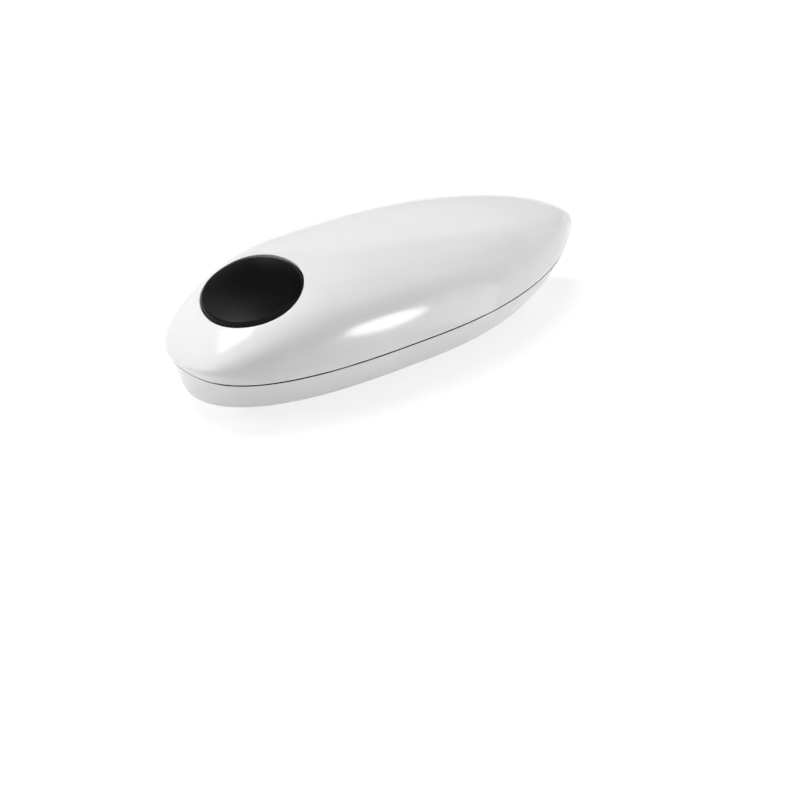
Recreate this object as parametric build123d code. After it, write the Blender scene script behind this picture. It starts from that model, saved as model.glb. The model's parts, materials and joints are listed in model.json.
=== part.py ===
"""Hand-held battery can opener: two-part moulded shell, push button, gear train and cutting head."""
import os
from math import acos, asin, atan2, cos, degrees, hypot, pi, radians, sin, tan

from build123d import *

os.makedirs("parts", exist_ok=True)

# Shell. Sizes are in millimetres. Stations run from the nose tip to the tail, the origin is at mid
# length, and z = 0 is the plane on which the drive hub and the two moulded feet stand.
LENGTH = 204.0
WIDTH = 76.0
CROWN_RISE = 28.4
BELLY_DROP = 19.2
KEEL_DROP = 37.0
SEAM_DROP = 4.2
SEAM_GAP = 0.4
HEAD_DROP = 5.5
WALL = 2.2
LIP_HEIGHT = 2.2
LIP_THICK = 1.0
LIP_CLEARANCE = 0.2
LIP_STOP = 12.0
LIP_ROOT = 3.0
LIP_LAP = 0.5
FEET = ((170.0, 6.0), (170.0, -6.0))
FOOT_RADIUS = 3.5

# Swelling of the plan and of the roof: crest as a share of the length, then (power, root) on each side.
PLAN = (0.49, (2.88, 2.54), (2.17, 1.24))
ROOF = (0.31, (2.0, 1.14), (2.0, 2.32))
UPPER_ACROSS = 2.76
UPPER_RISE = 3.4
LOWER_ROUND = 1.8
BELLY_EDGE = 0.4

# Push button and switch, heights measured along the tilted button axis from the shell surface.
BUTTON_STATION = 34.0
BUTTON_TILT = 20.9
BUTTON_LONG = 20.3
BUTTON_WIDE = 21.7
BUTTON_CROWN = -0.2
BUTTON_DOME = 80.0
DOME_SHIFT = -2.5
BUTTON_SKIN = 2.2
BUTTON_FOOT = -6.2
FLANGE_TOP = -4.6
FLANGE_REACH = 1.2
BUTTON_CLEARANCE = 0.4
BUTTON_TRAVEL = 2.2
CAP_RIB = 1.4
CAP_RIB_HEIGHT = 2.2
CAP_RIB_LIFT = 0.8
CAP_RIB_SHORT = 3.0
SHELF_BOTTOM = -4.4
WELL_BOTTOM = -14.0
WELL_WALL = 2.0
STEM_RADIUS = 3.2
PLUNGER_RADIUS = 1.7
PLUNGER_LENGTH = 4.8
PLUNGER_ROOM = 0.3
SWITCH_SIDE = 12.0
SWITCH_HEIGHT = 4.8
BOARD_THICK = 1.6
BOARD_LONG = 48.0
BOARD_WIDE = 14.0
BOARD_SCREW_OUT = 21.0
BOARD_SCREW = 1.0
BOARD_SCREW_LENGTH = 5.0
BOARD_HEAD = 2.0
BOARD_HEAD_HEIGHT = 1.2
BOARD_STUD = 2.9
BOARD_STUD_HEIGHT = 4.5
BOARD_HOLE_DEPTH = 4.0

# Cutting head: serrated wheel on the drive shaft, cutter on an eccentric turntable, lid magnet.
DRIVE_STATION = 46.0
CARRIER_STATION = 25.5
CARRIER_THROW = 3.2
CARRIER_RADIUS = 12.4
CARRIER_FLANGE = 14.0
CARRIER_RING = 2.2
CARRIER_STAND = 0.6
CARRIER_STUD = 4.0
STUD_SKIN = 0.4
CUTTER_RADIUS = 9.5
CUTTER_THICK = 2.0
CUTTER_BEVEL = 1.9
CUTTER_EDGE = 0.1
CUTTER_STAND = 0.7
CUTTER_BOSS = 4.5
AXLE_SCREW = 2.0
AXLE_THREAD = 1.5
AXLE_HEAD = 3.4
AXLE_HEAD_HEIGHT = 1.5
WHEEL_RADIUS = 7.0
WHEEL_TEETH = 28
WHEEL_TOOTH = 0.7
WHEEL_GAP = 0.8
WHEEL_EDGE = 0.5
BEVEL_RUN = 12.5
BEVEL_RISE = 13.0
TOOTH_TIP = (0.38, 0.62)
SHAFT_RADIUS = 3.0
SHAFT_FLAT = 2.4
SHAFT_SHOULDER = 0.2
JOURNAL_RADIUS = 2.0
HUB_SCREW = 1.2
HUB_SCREW_LENGTH = 6.5
HUB_SCREW_ROOM = 0.5
HUB_HEAD = 4.0
HUB_HEAD_HEIGHT = 0.9
RUNNING = 0.05
END_PLAY = 0.1
RING_GAP = 0.2
RING_THICK = 2.0
RING_STEP = 0.3
BUSH_RADIUS = 5.0
BUSH_FLANGE = 1.2
BUSH_GAP = 0.2
BUSH_RISE = 2.1
BUSH_WALL = 1.8
UPPER_BUSH = 3.4
MAGNET_STATION = 62.0
MAGNET_RADIUS = 5.0
MAGNET_THICK = 3.2
MAGNET_STAND = 0.4
MAGNET_WALL = 1.4

# Gear train, from the drive shaft back to the motor: modules, teeth and directions between axles.
PRESSURE_ANGLE = radians(25)
PINION_TEETH = 12
DRIVE_TEETH = 34
DRIVE_MODULE = 1.0
THIRD_TEETH = 32
THIRD_MODULE = 0.8
SECOND_TEETH = 42
SECOND_MODULE = 0.6
FIRST_TEETH = 48
FIRST_MODULE = 0.5
THIRD_DIRECTION = radians(50)
SECOND_DIRECTION = radians(-65)
FIRST_DIRECTION = radians(-35)
TOOTH_THIN = 0.07
ROOT_DEPTH = 1.25
AXLE_RADIUS = 1.5
FIRST_AXLE_RADIUS = 1.25
GEAR_FACE = 5.0
FINE_FACE = 4.0
LEVEL_STEP = 1.0
SECOND_STEP = 0.8
TOP_STEP = 1.2
PINION_LAP = 0.2
DRIVE_HUB = 6.0
DRIVE_HUB_STAND = 0.7
WEB_HOLES = 6
WEB_HOLE = 2.8
WEB_HOLE_OUT = 10.3
GEAR_SLEEVE = 2.6
FIRST_SLEEVE = 2.1

# Gearbox plates, bridge and posts.
PLATE_THICK = 2.0
PLATE_CLEARANCE = 0.5
PLATE_SCREW = 1.25
PLATE_HEAD = 2.4
PLATE_HEAD_HEIGHT = 0.9
BASE_SCREW_LENGTH = 6.0
TOP_SCREW_LENGTH = 7.0
SCREW_ROOM = 0.2
BASE_LEVEL = 13.0
BASE_OUTLINE = ((16, -9), (16, 9), (33, 16), (35, 25), (42, 25.5), (56, 23), (69, 31.5), (76, 31.5),
                (82.5, 15), (83.5, -3), (84.5, -11), (70, -24), (52, -25), (36, -25), (33, -15))
BASE_POSTS = ((38.0, 21.5), (40.0, -21.5), (73.0, -16.0), (72.0, 13.0))
POST_RADIUS = 3.0
TOP_OUTLINE = ((55, 20), (68, 31.5), (75, 31), (82, 15), (86.5, -6), (84, -12.5), (70, -23), (63, -22.5),
               (62, 0))
SPACERS = ((79.0, 14.0), (66.0, -20.0), (72.5, 28.5))
SPACER_RADIUS = 2.2
SPACER_THREAD = 6.0
BRIDGE_FOOT = (53.7, -21.1)
BRIDGE_FOOT_BACK = 2.0
BRIDGE_STEP = 1.2
BRIDGE_HUB = 5.6
BRIDGE_ARM = 7.0
LEG_RADIUS = 3.0
LEG_COLLAR = 0.5

# Motor and its strap.
MOTOR_RADIUS = 10.2
MOTOR_WALL = 0.8
MOTOR_SHAFT = 1.0
MOTOR_RUNNING = 0.04
MOTOR_LIFT = 0.3
MOTOR_CLEARANCE = 0.3
MOTOR_SEAT_RISE = 4.0
MOTOR_SEAT_WALL = 1.9
BELL_HEIGHT = 2.6
BELL_SPIGOT = 1.5
BELL_HOLLOW = 5.0
BELL_FLOOR = 0.6
NOSE_RADIUS = 3.0
NOSE_LENGTH = 2.0
FIELD_THICK = 2.2
FIELD_SPLIT = 7.0
FIELD_LOW = 2.5
FIELD_HIGH = 3.0
AIR_GAP = 0.5
CORE_LOW = 3.5
CORE_HIGH = 4.0
WINDING_SLOTS = 3
WINDING_SLOT = 2.0
WINDING_SLOT_OUT = 5.4
COMMUTATOR_RADIUS = 2.6
COMMUTATOR_LOW = 0.3
SHAFT_TAIL = 0.8
BRACKET_THICK = 0.8
BRACKET_GAP = 0.4
BRACKET_HALF = 7.2
BRACKET_REACH = 23.0
BRACKET_SCREW_OUT = 19.5

# Cells, their contacts and the battery hatch.
CELL_RADIUS = 7.25
CELL_LENGTH = 50.5
CELL_PITCH = 14.8
CELL_LIFT = 0.6
CELL_NUB = 2.6
CELL_NUB_LENGTH = 1.2
BAY_START = 110.0
BAY_WALL = 1.6
FRONT_ROOM = 1.2
REAR_ROOM = 1.0
CONTACT_THICK = 0.4
CONTACT_HALF = 5.5
CONTACT_INSET = 2.0
DIMPLE_RADIUS = 2.0
HATCH_THICK = 2.0
HATCH_CLEARANCE = 0.3
HATCH_MARGIN = 0.2
HATCH_RISE = 1.1
HINGE_BACK = 0.7
PIVOT_RADIUS = 0.7
PIVOT_CLEARANCE = 0.1
PIVOT_REACH = 1.2
PIVOT_ROOM = 0.2
GRIP_GROOVES = 4
GRIP_PITCH = 2.2
GRIP_WIDTH = 1.0
GRIP_HALF = 8.0
GRIP_DEPTH = 0.6
GRIP_START = 2.0
NOTCH_LONG = 6.0
NOTCH_HALF = 7.0
NOTCH_DEPTH = 0.8
HINGE_ROOM = 0.5

# Case screws and their bosses.
CASE_SCREWS = ((28.0, 19.0), (28.0, -19.0), (80.0, 26.0), (80.0, -26.0), (172.0, 0.0))
CASE_BOSS = 4.1
COVER_BOSS = 3.2
CASE_SCREW = 1.4
CASE_SCREW_LENGTH = 18.0
CASE_HEAD = 2.7
CASE_HEAD_HEIGHT = 1.8
CASE_HEAD_ROOM = 0.3
CASE_SEAT_RISE = 3.3

EQUATOR = HEAD_DROP + BELLY_DROP
UNDERSIDE = HEAD_DROP
FLOOR = UNDERSIDE + WALL
SEAM = EQUATOR - SEAM_DROP
CASE_SEAT = FLOOR + CASE_SEAT_RISE
OVERHEAD = EQUATOR + CROWN_RISE + HEAD_DROP
ABOVE_SURFACE = 14.0
CUT_SPARE = 1.0
BASE = (Align.CENTER, Align.CENTER, Align.MIN)


def place(station):
    """Longitudinal coordinate of a station measured from the nose."""
    return station - LENGTH / 2


def disc(station, across, radius, low, high):
    """Upright cylinder between two heights."""
    return Pos(place(station), across, low) * Cylinder(radius, high - low, align=BASE)


def through(spot, radius):
    """Upright cylinder right through the opener, for a hole."""
    return disc(*spot, radius, 0, OVERHEAD)


def block(first, last, right, left, low, high):
    """Box between two stations, two offsets across and two heights."""
    middle = Pos(place((first + last) / 2), (right + left) / 2, low)
    return middle * Box(last - first, left - right, high - low, align=BASE)


def plate(outline, low, high):
    """Flat plate whose outline is a list of (station, across) corners."""
    corners = [(place(station), across) for station, across in outline]
    face = make_face(Polyline(*corners, close=True))
    return Pos(0, 0, low) * extrude(face, high - low)


def pan_screw(radius, head_radius, head_height, length):
    """Screw with its head under z = 0 and its shank rising from z = 0, cross recess in the head."""
    head = Pos(0, 0, -head_height) * Cylinder(head_radius, head_height, align=BASE)
    shank = Cylinder(radius, length, align=BASE)
    bar = Pos(0, 0, -head_height) * Box(head_radius * 1.2, 0.6, head_height, align=BASE)
    return head - bar - Rot(0, 0, 90) * bar + shank


def save(node, shape):
    """Write one named piece."""
    export_step(shape, "parts/" + node + ".step")


def swell(share, curve):
    """Relative half size at a share of the length, 0 at both tips and 1 at the crest."""
    crest, nose, tail = curve
    if share < crest:
        reach = (crest - share) / crest
        power, root = nose
    else:
        reach = (share - crest) / (1 - crest)
        power, root = tail
    return max(0.0, 1 - min(1.0, reach) ** power) ** (1 / root)


def tips(size, curve):
    """The two shares of the length where the swelling falls to the given relative size."""
    crest, nose, tail = curve
    first = crest - crest * (1 - size ** nose[1]) ** (1 / nose[0])
    last = crest + (1 - crest) * (1 - size ** tail[1]) ** (1 / tail[0])
    return first, last


def level_loop(height, first, last, half_width, inset):
    """Closed level curve of the shell, sampled closely at both tips."""
    steps = 12
    side = []
    for step in range(steps + 1):
        share = first + (last - first) * (1 - cos(pi * step / steps)) / 2
        across = half_width(share) if 0 < step < steps else 0.0
        side.append((place(inset + share * (LENGTH - 2 * inset)), across))
    loop = side + [(along, -across) for along, across in side[-2:0:-1]]
    points = [Vector(along, across, height) for along, across in loop]
    return Wire([Edge.make_spline(points, periodic=True)])


def lower_loop(drop, inset):
    """Level curve below the widest level; the belly turns in along a soft edge."""
    limit = BELLY_DROP - inset + BELLY_EDGE
    free = (drop ** -10 - limit ** -10) ** -0.1
    size = free / (KEEL_DROP - inset)
    first, last = tips(size, PLAN)

    def half_width(share):
        local = swell(share, PLAN)
        side = max(0.0, 1 - (size / local) ** LOWER_ROUND) ** (1 / LOWER_ROUND)
        return (WIDTH / 2 - inset) * local * side

    return level_loop(EQUATOR - drop, first, last, half_width, inset)


def upper_loop(rise, inset):
    """Level curve of the domed roof."""
    size = rise / (CROWN_RISE - inset)
    first, last = tips(size, ROOF)

    def half_width(share):
        roof = swell(share, ROOF)
        side = max(0.0, 1 - (size / roof) ** UPPER_RISE) ** (1 / UPPER_ACROSS)
        return (WIDTH / 2 - inset) * swell(share, PLAN) * side

    return level_loop(EQUATOR + rise, first, last, half_width, inset)


def dome(inset):
    """Solid under the roof skin, from the parting line to the crown."""
    top = (CROWN_RISE - inset) * 0.9995
    drop = SEAM_DROP - SEAM_GAP
    levels = [lower_loop(drop, inset), lower_loop(drop / 2, inset)]
    for step in range(9):
        levels.append(upper_loop(top * sin(pi / 2 * step / 8), inset))
    return Solid.make_loft(levels, False)


def tray(inset):
    """Solid of the lower case, from the parting line to the flat belly."""
    deep = BELLY_DROP - inset
    levels = []
    for step in range(7):
        levels.append(lower_loop(SEAM_DROP + (deep - SEAM_DROP) * sin(pi / 2 * step / 6), inset))
    return Solid.make_loft(levels, False)


def seam_band(outer, inner, low, high):
    """Upright band following the parting line between two insets."""
    shift = Pos(0, 0, low - SEAM)
    outside = shift * extrude(Face(lower_loop(SEAM_DROP, outer)), high - low, dir=(0, 0, 1))
    inside = shift * extrude(Face(lower_loop(SEAM_DROP, inner)), high - low, dir=(0, 0, 1))
    return outside - inside


# Button axis: square to the shell surface at the button.
button_height = EQUATOR + CROWN_RISE * swell(BUTTON_STATION / LENGTH, ROOF)
button_frame = Location(Plane(
    origin=(place(BUTTON_STATION), 0, button_height),
    x_dir=(cos(radians(BUTTON_TILT)), 0, sin(radians(BUTTON_TILT))),
    z_dir=(-sin(radians(BUTTON_TILT)), 0, cos(radians(BUTTON_TILT))),
))


def oval(extra, low, high):
    """Oval prism on the button axis, larger than the button by extra all round."""
    shape = extrude(Ellipse(BUTTON_LONG + extra, BUTTON_WIDE + extra), high - low)
    return button_frame * Pos(0, 0, low) * shape


def on_axis(shape, along, across, height):
    """Shape moved into the tilted button frame."""
    return button_frame * Pos(along, across, height) * shape


# Upper cover: moulded white shell with the button well, its shelf, the board studs and the screw bosses.
mouth = BUTTON_CLEARANCE
shelf = BUTTON_CLEARANCE + FLANGE_REACH
below_well = WELL_BOTTOM - CUT_SPARE
roof = dome(0)
cover = roof - dome(WALL)
cover = cover + (oval(shelf + WELL_WALL, WELL_BOTTOM, ABOVE_SURFACE) & roof)
for spot in CASE_SCREWS:
    cover = cover + (disc(*spot, COVER_BOSS, SEAM, EQUATOR + CROWN_RISE) & roof)
cover = cover - oval(mouth, below_well, ABOVE_SURFACE)
cover = cover - oval(shelf, below_well, SHELF_BOTTOM)
for side in (-1, 1):
    stud = Cylinder(BOARD_STUD, BOARD_STUD_HEIGHT, align=BASE)
    hole = Cylinder(BOARD_SCREW, BOARD_HOLE_DEPTH, align=BASE)
    cover = cover + on_axis(stud, 0, side * BOARD_SCREW_OUT, WELL_BOTTOM)
    cover = cover - on_axis(hole, 0, side * BOARD_SCREW_OUT, WELL_BOTTOM)
for spot in CASE_SCREWS:
    cover = cover - disc(*spot, CASE_SCREW, SEAM, CASE_SEAT + CASE_SCREW_LENGTH)
save("top_cover", cover)

# Push button: domed black cap with a flange under the shelf and a stem for the switch.
ball = on_axis(Sphere(BUTTON_DOME), DOME_SHIFT, 0, BUTTON_CROWN - BUTTON_DOME)
inner_ball = on_axis(Sphere(BUTTON_DOME - BUTTON_SKIN), DOME_SHIFT, 0, BUTTON_CROWN - BUTTON_DOME)
cap = oval(0, BUTTON_FOOT, ABOVE_SURFACE) & ball
cap = cap + oval(FLANGE_REACH, BUTTON_FOOT, FLANGE_TOP)
cap = cap - (oval(-BUTTON_SKIN, BUTTON_FOOT - CUT_SPARE, ABOVE_SURFACE) & inner_ball)
stem_height = BUTTON_CROWN - BUTTON_SKIN / 2 - BUTTON_FOOT
cap = cap + on_axis(Cylinder(STEM_RADIUS, stem_height, align=BASE), 0, 0, BUTTON_FOOT)
for turn in (0, 90):
    rib = Rot(0, 0, turn) * Box(2 * BUTTON_LONG - CAP_RIB_SHORT, CAP_RIB, CAP_RIB_HEIGHT, align=BASE)
    cap = cap + (on_axis(rib, 0, 0, BUTTON_FOOT + CAP_RIB_LIFT) & ball)
save("power_button", cap)

# Switch: board across the mouth of the well, sealed body, sprung plunger under the button stem.
board_low = WELL_BOTTOM - BOARD_THICK
board = on_axis(Box(BOARD_WIDE, BOARD_LONG, BOARD_THICK, align=BASE), 0, 0, board_low)
board_screws = []
for side in (-1, 1):
    hole = Cylinder(BOARD_SCREW + SCREW_ROOM, BOARD_THICK, align=BASE)
    screw = pan_screw(BOARD_SCREW, BOARD_HEAD, BOARD_HEAD_HEIGHT, BOARD_SCREW_LENGTH)
    board = board - on_axis(hole, 0, side * BOARD_SCREW_OUT, board_low)
    board_screws.append(on_axis(screw, 0, side * BOARD_SCREW_OUT, board_low))
save("switch_board", board)
save("board_screws", Compound(board_screws))
plunger_low = BUTTON_FOOT - END_PLAY - PLUNGER_LENGTH
switch = on_axis(Box(SWITCH_SIDE, SWITCH_SIDE, SWITCH_HEIGHT, align=BASE), 0, 0, WELL_BOTTOM)
bore = Cylinder(PLUNGER_RADIUS + RUNNING, 2 * SWITCH_HEIGHT, align=BASE)
switch = switch - on_axis(bore, 0, 0, plunger_low - BUTTON_TRAVEL - PLUNGER_ROOM)
save("power_switch", switch)
save("switch_plunger", on_axis(Cylinder(PLUNGER_RADIUS, PLUNGER_LENGTH, align=BASE), 0, 0, plunger_low))


def involute(angle):
    """Polar angle of an involute at a pressure angle."""
    return tan(angle) - angle


def gear_outline(module, teeth, phase):
    """Corners of an involute gear with straight-sided steps, one tooth centred on the phase angle."""
    pitch = module * teeth / 2
    root = pitch - ROOT_DEPTH * module
    tip = pitch + module
    ground = pitch * cos(PRESSURE_ANGLE)
    start = max(root, ground)
    half = (pi * module / 2 - TOOTH_THIN) / (2 * pitch) + involute(PRESSURE_ANGLE)
    flank = []
    for share in (0.0, 0.4, 1.0):
        radius = start + (tip - start) * share
        flank.append((radius, half - involute(acos(min(1.0, ground / radius)))))
    if root < ground:
        flank.insert(0, (root, half))
    corners = []
    for tooth in range(teeth):
        centre = phase + 2 * pi * tooth / teeth
        rising = [(radius, centre - spread) for radius, spread in flank]
        falling = [(radius, centre + spread) for radius, spread in reversed(flank)]
        corners.extend((radius * cos(turn), radius * sin(turn)) for radius, turn in rising + falling)
    return corners


def gear(module, teeth, phase, axle, low, high):
    """Extruded gear on an axle given as (station, across)."""
    face = make_face(Polyline(*gear_outline(module, teeth, phase), close=True))
    return Pos(place(axle[0]), axle[1], low) * extrude(face, high - low)


def meshing_phase(phase, teeth, direction, next_teeth):
    """Phase that puts a gap of the next gear over a tooth of this one along the line of centres."""
    offset = (direction - phase) * teeth / (2 * pi)
    return direction + pi - 2 * pi / next_teeth * (0.5 - offset)


def step_from(axle, direction, module, teeth):
    """Next axle, at the pitch distance of a pinion and a wheel."""
    distance = module * (PINION_TEETH + teeth) / 2
    return axle[0] + distance * cos(direction), axle[1] + distance * sin(direction)


# Axles of the train; the last step brings the motor back to the middle line.
drive_axle = (DRIVE_STATION, 0.0)
third_axle = step_from(drive_axle, THIRD_DIRECTION, DRIVE_MODULE, DRIVE_TEETH)
second_axle = step_from(third_axle, SECOND_DIRECTION, THIRD_MODULE, THIRD_TEETH)
first_axle = step_from(second_axle, FIRST_DIRECTION, SECOND_MODULE, SECOND_TEETH)
motor_distance = FIRST_MODULE * (PINION_TEETH + FIRST_TEETH) / 2
motor_direction = asin(-first_axle[1] / motor_distance)
motor_axle = step_from(first_axle, motor_direction, FIRST_MODULE, FIRST_TEETH)
FIXED_AXLES = ((third_axle, AXLE_RADIUS), (second_axle, AXLE_RADIUS), (first_axle, FIRST_AXLE_RADIUS))

# Levels of the train between its two plates.
base_top = BASE_LEVEL + PLATE_THICK
drive_low = base_top + LEVEL_STEP
drive_high = drive_low + GEAR_FACE
third_low = drive_high + LEVEL_STEP
second_low = third_low + GEAR_FACE + SECOND_STEP
first_low = second_low + FINE_FACE + LEVEL_STEP
first_high = first_low + FINE_FACE
top_level = first_high + TOP_STEP

# Every wheel has a tooth on the +X side; each pinion is turned to mesh with the wheel that it drives.
third_pinion_phase = meshing_phase(0.0, DRIVE_TEETH, THIRD_DIRECTION, PINION_TEETH)
second_pinion_phase = meshing_phase(0.0, THIRD_TEETH, SECOND_DIRECTION, PINION_TEETH)
first_pinion_phase = meshing_phase(0.0, SECOND_TEETH, FIRST_DIRECTION, PINION_TEETH)
motor_phase = meshing_phase(0.0, FIRST_TEETH, motor_direction, PINION_TEETH)

# Drive gear: sintered wheel with lightening holes, pressed on the shaft.
drive_gear = gear(DRIVE_MODULE, DRIVE_TEETH, 0.0, drive_axle, drive_low, drive_high)
drive_gear = drive_gear + disc(
    *drive_axle, DRIVE_HUB, drive_low - DRIVE_HUB_STAND, drive_high + DRIVE_HUB_STAND)
drive_gear = drive_gear - through(drive_axle, SHAFT_RADIUS)
for number in range(WEB_HOLES):
    angle = 2 * pi * (number + 0.5) / WEB_HOLES
    spot = (DRIVE_STATION + WEB_HOLE_OUT * cos(angle), WEB_HOLE_OUT * sin(angle))
    drive_gear = drive_gear - through(spot, WEB_HOLE)
save("drive_gear", drive_gear)


def compound_gear(axle, bore, sleeve, pinion, wheel):
    """Pinion and wheel moulded on one sleeve; pinion and wheel are (module, teeth, phase, low, high)."""
    body = disc(*axle, sleeve, base_top + END_PLAY, top_level - END_PLAY)
    for module, teeth, phase, low, high in (pinion, wheel):
        body = body + gear(module, teeth, phase, axle, low, high)
    return body - through(axle, bore)


# Compound gears: moulded, running on fixed steel axles; the motor pinion is brass.
third_gear = compound_gear(
    third_axle, AXLE_RADIUS + RUNNING, GEAR_SLEEVE,
    (DRIVE_MODULE, PINION_TEETH, third_pinion_phase, drive_low - PINION_LAP, third_low),
    (THIRD_MODULE, THIRD_TEETH, 0.0, third_low, third_low + GEAR_FACE))
save("third_gear", third_gear)
second_gear = compound_gear(
    second_axle, AXLE_RADIUS + RUNNING, GEAR_SLEEVE,
    (THIRD_MODULE, PINION_TEETH, second_pinion_phase, third_low - PINION_LAP, second_low),
    (SECOND_MODULE, SECOND_TEETH, 0.0, second_low, second_low + FINE_FACE))
save("second_gear", second_gear)
first_gear = compound_gear(
    first_axle, FIRST_AXLE_RADIUS + RUNNING, FIRST_SLEEVE,
    (SECOND_MODULE, PINION_TEETH, first_pinion_phase, second_low - PINION_LAP, first_low),
    (FIRST_MODULE, FIRST_TEETH, 0.0, first_low, first_high))
save("first_gear", first_gear)
motor_pinion = gear(FIRST_MODULE, PINION_TEETH, motor_phase, motor_axle, first_low + END_PLAY, first_high)
save("motor_pinion", motor_pinion - through(motor_axle, MOTOR_SHAFT))
axles = [disc(*axle, radius, BASE_LEVEL, top_level + PLATE_THICK) for axle, radius in FIXED_AXLES]
save("gear_axles", Compound(axles))

# Drive shaft: a flat for the serrated wheel below, a journal for the bridge bush above.
wheel_top = UNDERSIDE - WHEEL_GAP
shaft_top = drive_high + BRIDGE_STEP
shoulder = shaft_top - SHAFT_SHOULDER
bridge_top = shaft_top + PLATE_THICK + SHAFT_SHOULDER
flat = block(DRIVE_STATION + SHAFT_FLAT, DRIVE_STATION + WHEEL_RADIUS + SHAFT_FLAT,
             -WHEEL_RADIUS, WHEEL_RADIUS, 0, wheel_top)
shaft = disc(*drive_axle, SHAFT_RADIUS, HUB_HEAD_HEIGHT, shoulder) - flat
shaft = shaft + disc(*drive_axle, JOURNAL_RADIUS, shoulder, bridge_top)
shaft = shaft - disc(*drive_axle, HUB_SCREW, 0, HUB_HEAD_HEIGHT + HUB_SCREW_LENGTH + HUB_SCREW_ROOM)
save("drive_shaft", shaft)

# Serrated drive wheel: hardened, its lower edge broken by a bevel, held by the hub screw.
teeth_outline = []
for tooth in range(WHEEL_TEETH):
    for share in (0.0,) + TOOTH_TIP:
        radius = WHEEL_RADIUS if share else WHEEL_RADIUS - WHEEL_TOOTH
        turn = 2 * pi * (tooth + share) / WHEEL_TEETH
        teeth_outline.append((DRIVE_STATION + radius * cos(turn), radius * sin(turn)))
wheel = plate(teeth_outline, HUB_HEAD_HEIGHT, wheel_top)
rim_radius = WHEEL_RADIUS - WHEEL_EDGE
bevel_cone = Cone(rim_radius, rim_radius + BEVEL_RUN, BEVEL_RISE, align=BASE)
wheel = wheel & (Pos(place(DRIVE_STATION), 0, HUB_HEAD_HEIGHT) * bevel_cone)
wheel = wheel - (disc(*drive_axle, SHAFT_RADIUS, 0, UNDERSIDE) - flat)
save("drive_wheel", wheel)
hub_screw = pan_screw(HUB_SCREW, HUB_HEAD, HUB_HEAD_HEIGHT, HUB_SCREW_LENGTH)
save("drive_screw", Pos(place(DRIVE_STATION), 0, HUB_HEAD_HEIGHT) * hub_screw)

# Lower bush in the belly and the rubber friction ring that drags the carrier round.
bush_top = FLOOR + BUSH_RISE
bush = disc(*drive_axle, BUSH_RADIUS, UNDERSIDE, bush_top)
bush = bush + disc(*drive_axle, BUSH_RADIUS + BUSH_FLANGE, wheel_top + BUSH_GAP, UNDERSIDE)
save("lower_bush", bush - through(drive_axle, SHAFT_RADIUS + RUNNING))
ring_low = bush_top + RING_STEP
ring_top = ring_low + RING_THICK
friction_radius = DRIVE_STATION - CARRIER_STATION - CARRIER_FLANGE - RING_GAP
friction_ring = disc(*drive_axle, friction_radius, ring_low, ring_top)
save("friction_ring", friction_ring - through(drive_axle, SHAFT_RADIUS))

# Cutter carrier: turntable in the underside, its axle set off centre so that turning it closes the cutter.
carrier_axle = (CARRIER_STATION, 0.0)
cutter_axle = (CARRIER_STATION - CARRIER_THROW, 0.0)
carrier_face = UNDERSIDE - CARRIER_STAND
cutter_top = carrier_face - CUTTER_STAND
cutter_low = cutter_top - CUTTER_THICK
cutter_rest = cutter_top + END_PLAY
carrier = disc(*carrier_axle, CARRIER_RADIUS, carrier_face, ring_low)
carrier = carrier + disc(*carrier_axle, CARRIER_FLANGE, ring_low, ring_top)
carrier = carrier + disc(*cutter_axle, CUTTER_BOSS, cutter_rest, carrier_face)
save("cutter_carrier", carrier - through(cutter_axle, AXLE_THREAD))
cutter_bore = AXLE_SCREW + RUNNING
cutter_middle = (cutter_low + cutter_top) / 2
blade_profile = Plane.XZ * Polyline(
    (cutter_bore, cutter_low),
    (CUTTER_RADIUS - CUTTER_BEVEL, cutter_low),
    (CUTTER_RADIUS, cutter_middle - CUTTER_EDGE),
    (CUTTER_RADIUS, cutter_middle + CUTTER_EDGE),
    (CUTTER_RADIUS - CUTTER_BEVEL, cutter_top),
    (cutter_bore, cutter_top),
    close=True)
save("cutter_wheel", Pos(place(cutter_axle[0]), 0, 0) * revolve(make_face(blade_profile), Axis.Z))
head_top = cutter_low - END_PLAY
axle_screw = pan_screw(AXLE_SCREW, AXLE_HEAD, AXLE_HEAD_HEIGHT, cutter_rest - head_top)
axle_screw = Pos(place(cutter_axle[0]), 0, head_top) * axle_screw
save("cutter_axle_screw", axle_screw + disc(*cutter_axle, AXLE_THREAD, cutter_rest, ring_low))
magnet_low = UNDERSIDE - MAGNET_STAND
magnet_high = magnet_low + MAGNET_THICK
save("lid_magnet", disc(MAGNET_STATION, 0, MAGNET_RADIUS, magnet_low, magnet_high))

# Gearbox base: punched plate on posts of the lower case, with a stud that holds the carrier down.
legs = ((CARRIER_STATION - BRIDGE_FOOT_BACK, 0.0), BRIDGE_FOOT)
stud_low = ring_top + END_PLAY
base = plate(BASE_OUTLINE, BASE_LEVEL, base_top)
base = base + disc(*carrier_axle, CARRIER_STUD, stud_low, BASE_LEVEL)
for spot in CASE_SCREWS:
    base = base - through(spot, CASE_BOSS + PLATE_CLEARANCE)
base = base - through(motor_axle, MOTOR_RADIUS + PLATE_CLEARANCE)
base = base - through(drive_axle, SHAFT_RADIUS + PLATE_CLEARANCE)
for axle, radius in FIXED_AXLES:
    base = base - through(axle, radius)
for spot in BASE_POSTS + SPACERS + legs:
    base = base - disc(*spot, PLATE_SCREW, stud_low + STUD_SKIN, OVERHEAD)
save("gearbox_base", base)


def top_screw(spot, seat, length):
    """Plate screw driven from above."""
    screw = Rot(180, 0, 0) * pan_screw(PLATE_SCREW, PLATE_HEAD, PLATE_HEAD_HEIGHT, length)
    return Pos(place(spot[0]), spot[1], seat) * screw


save("base_screws", Compound([top_screw(spot, base_top, BASE_SCREW_LENGTH) for spot in BASE_POSTS]))

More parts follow.
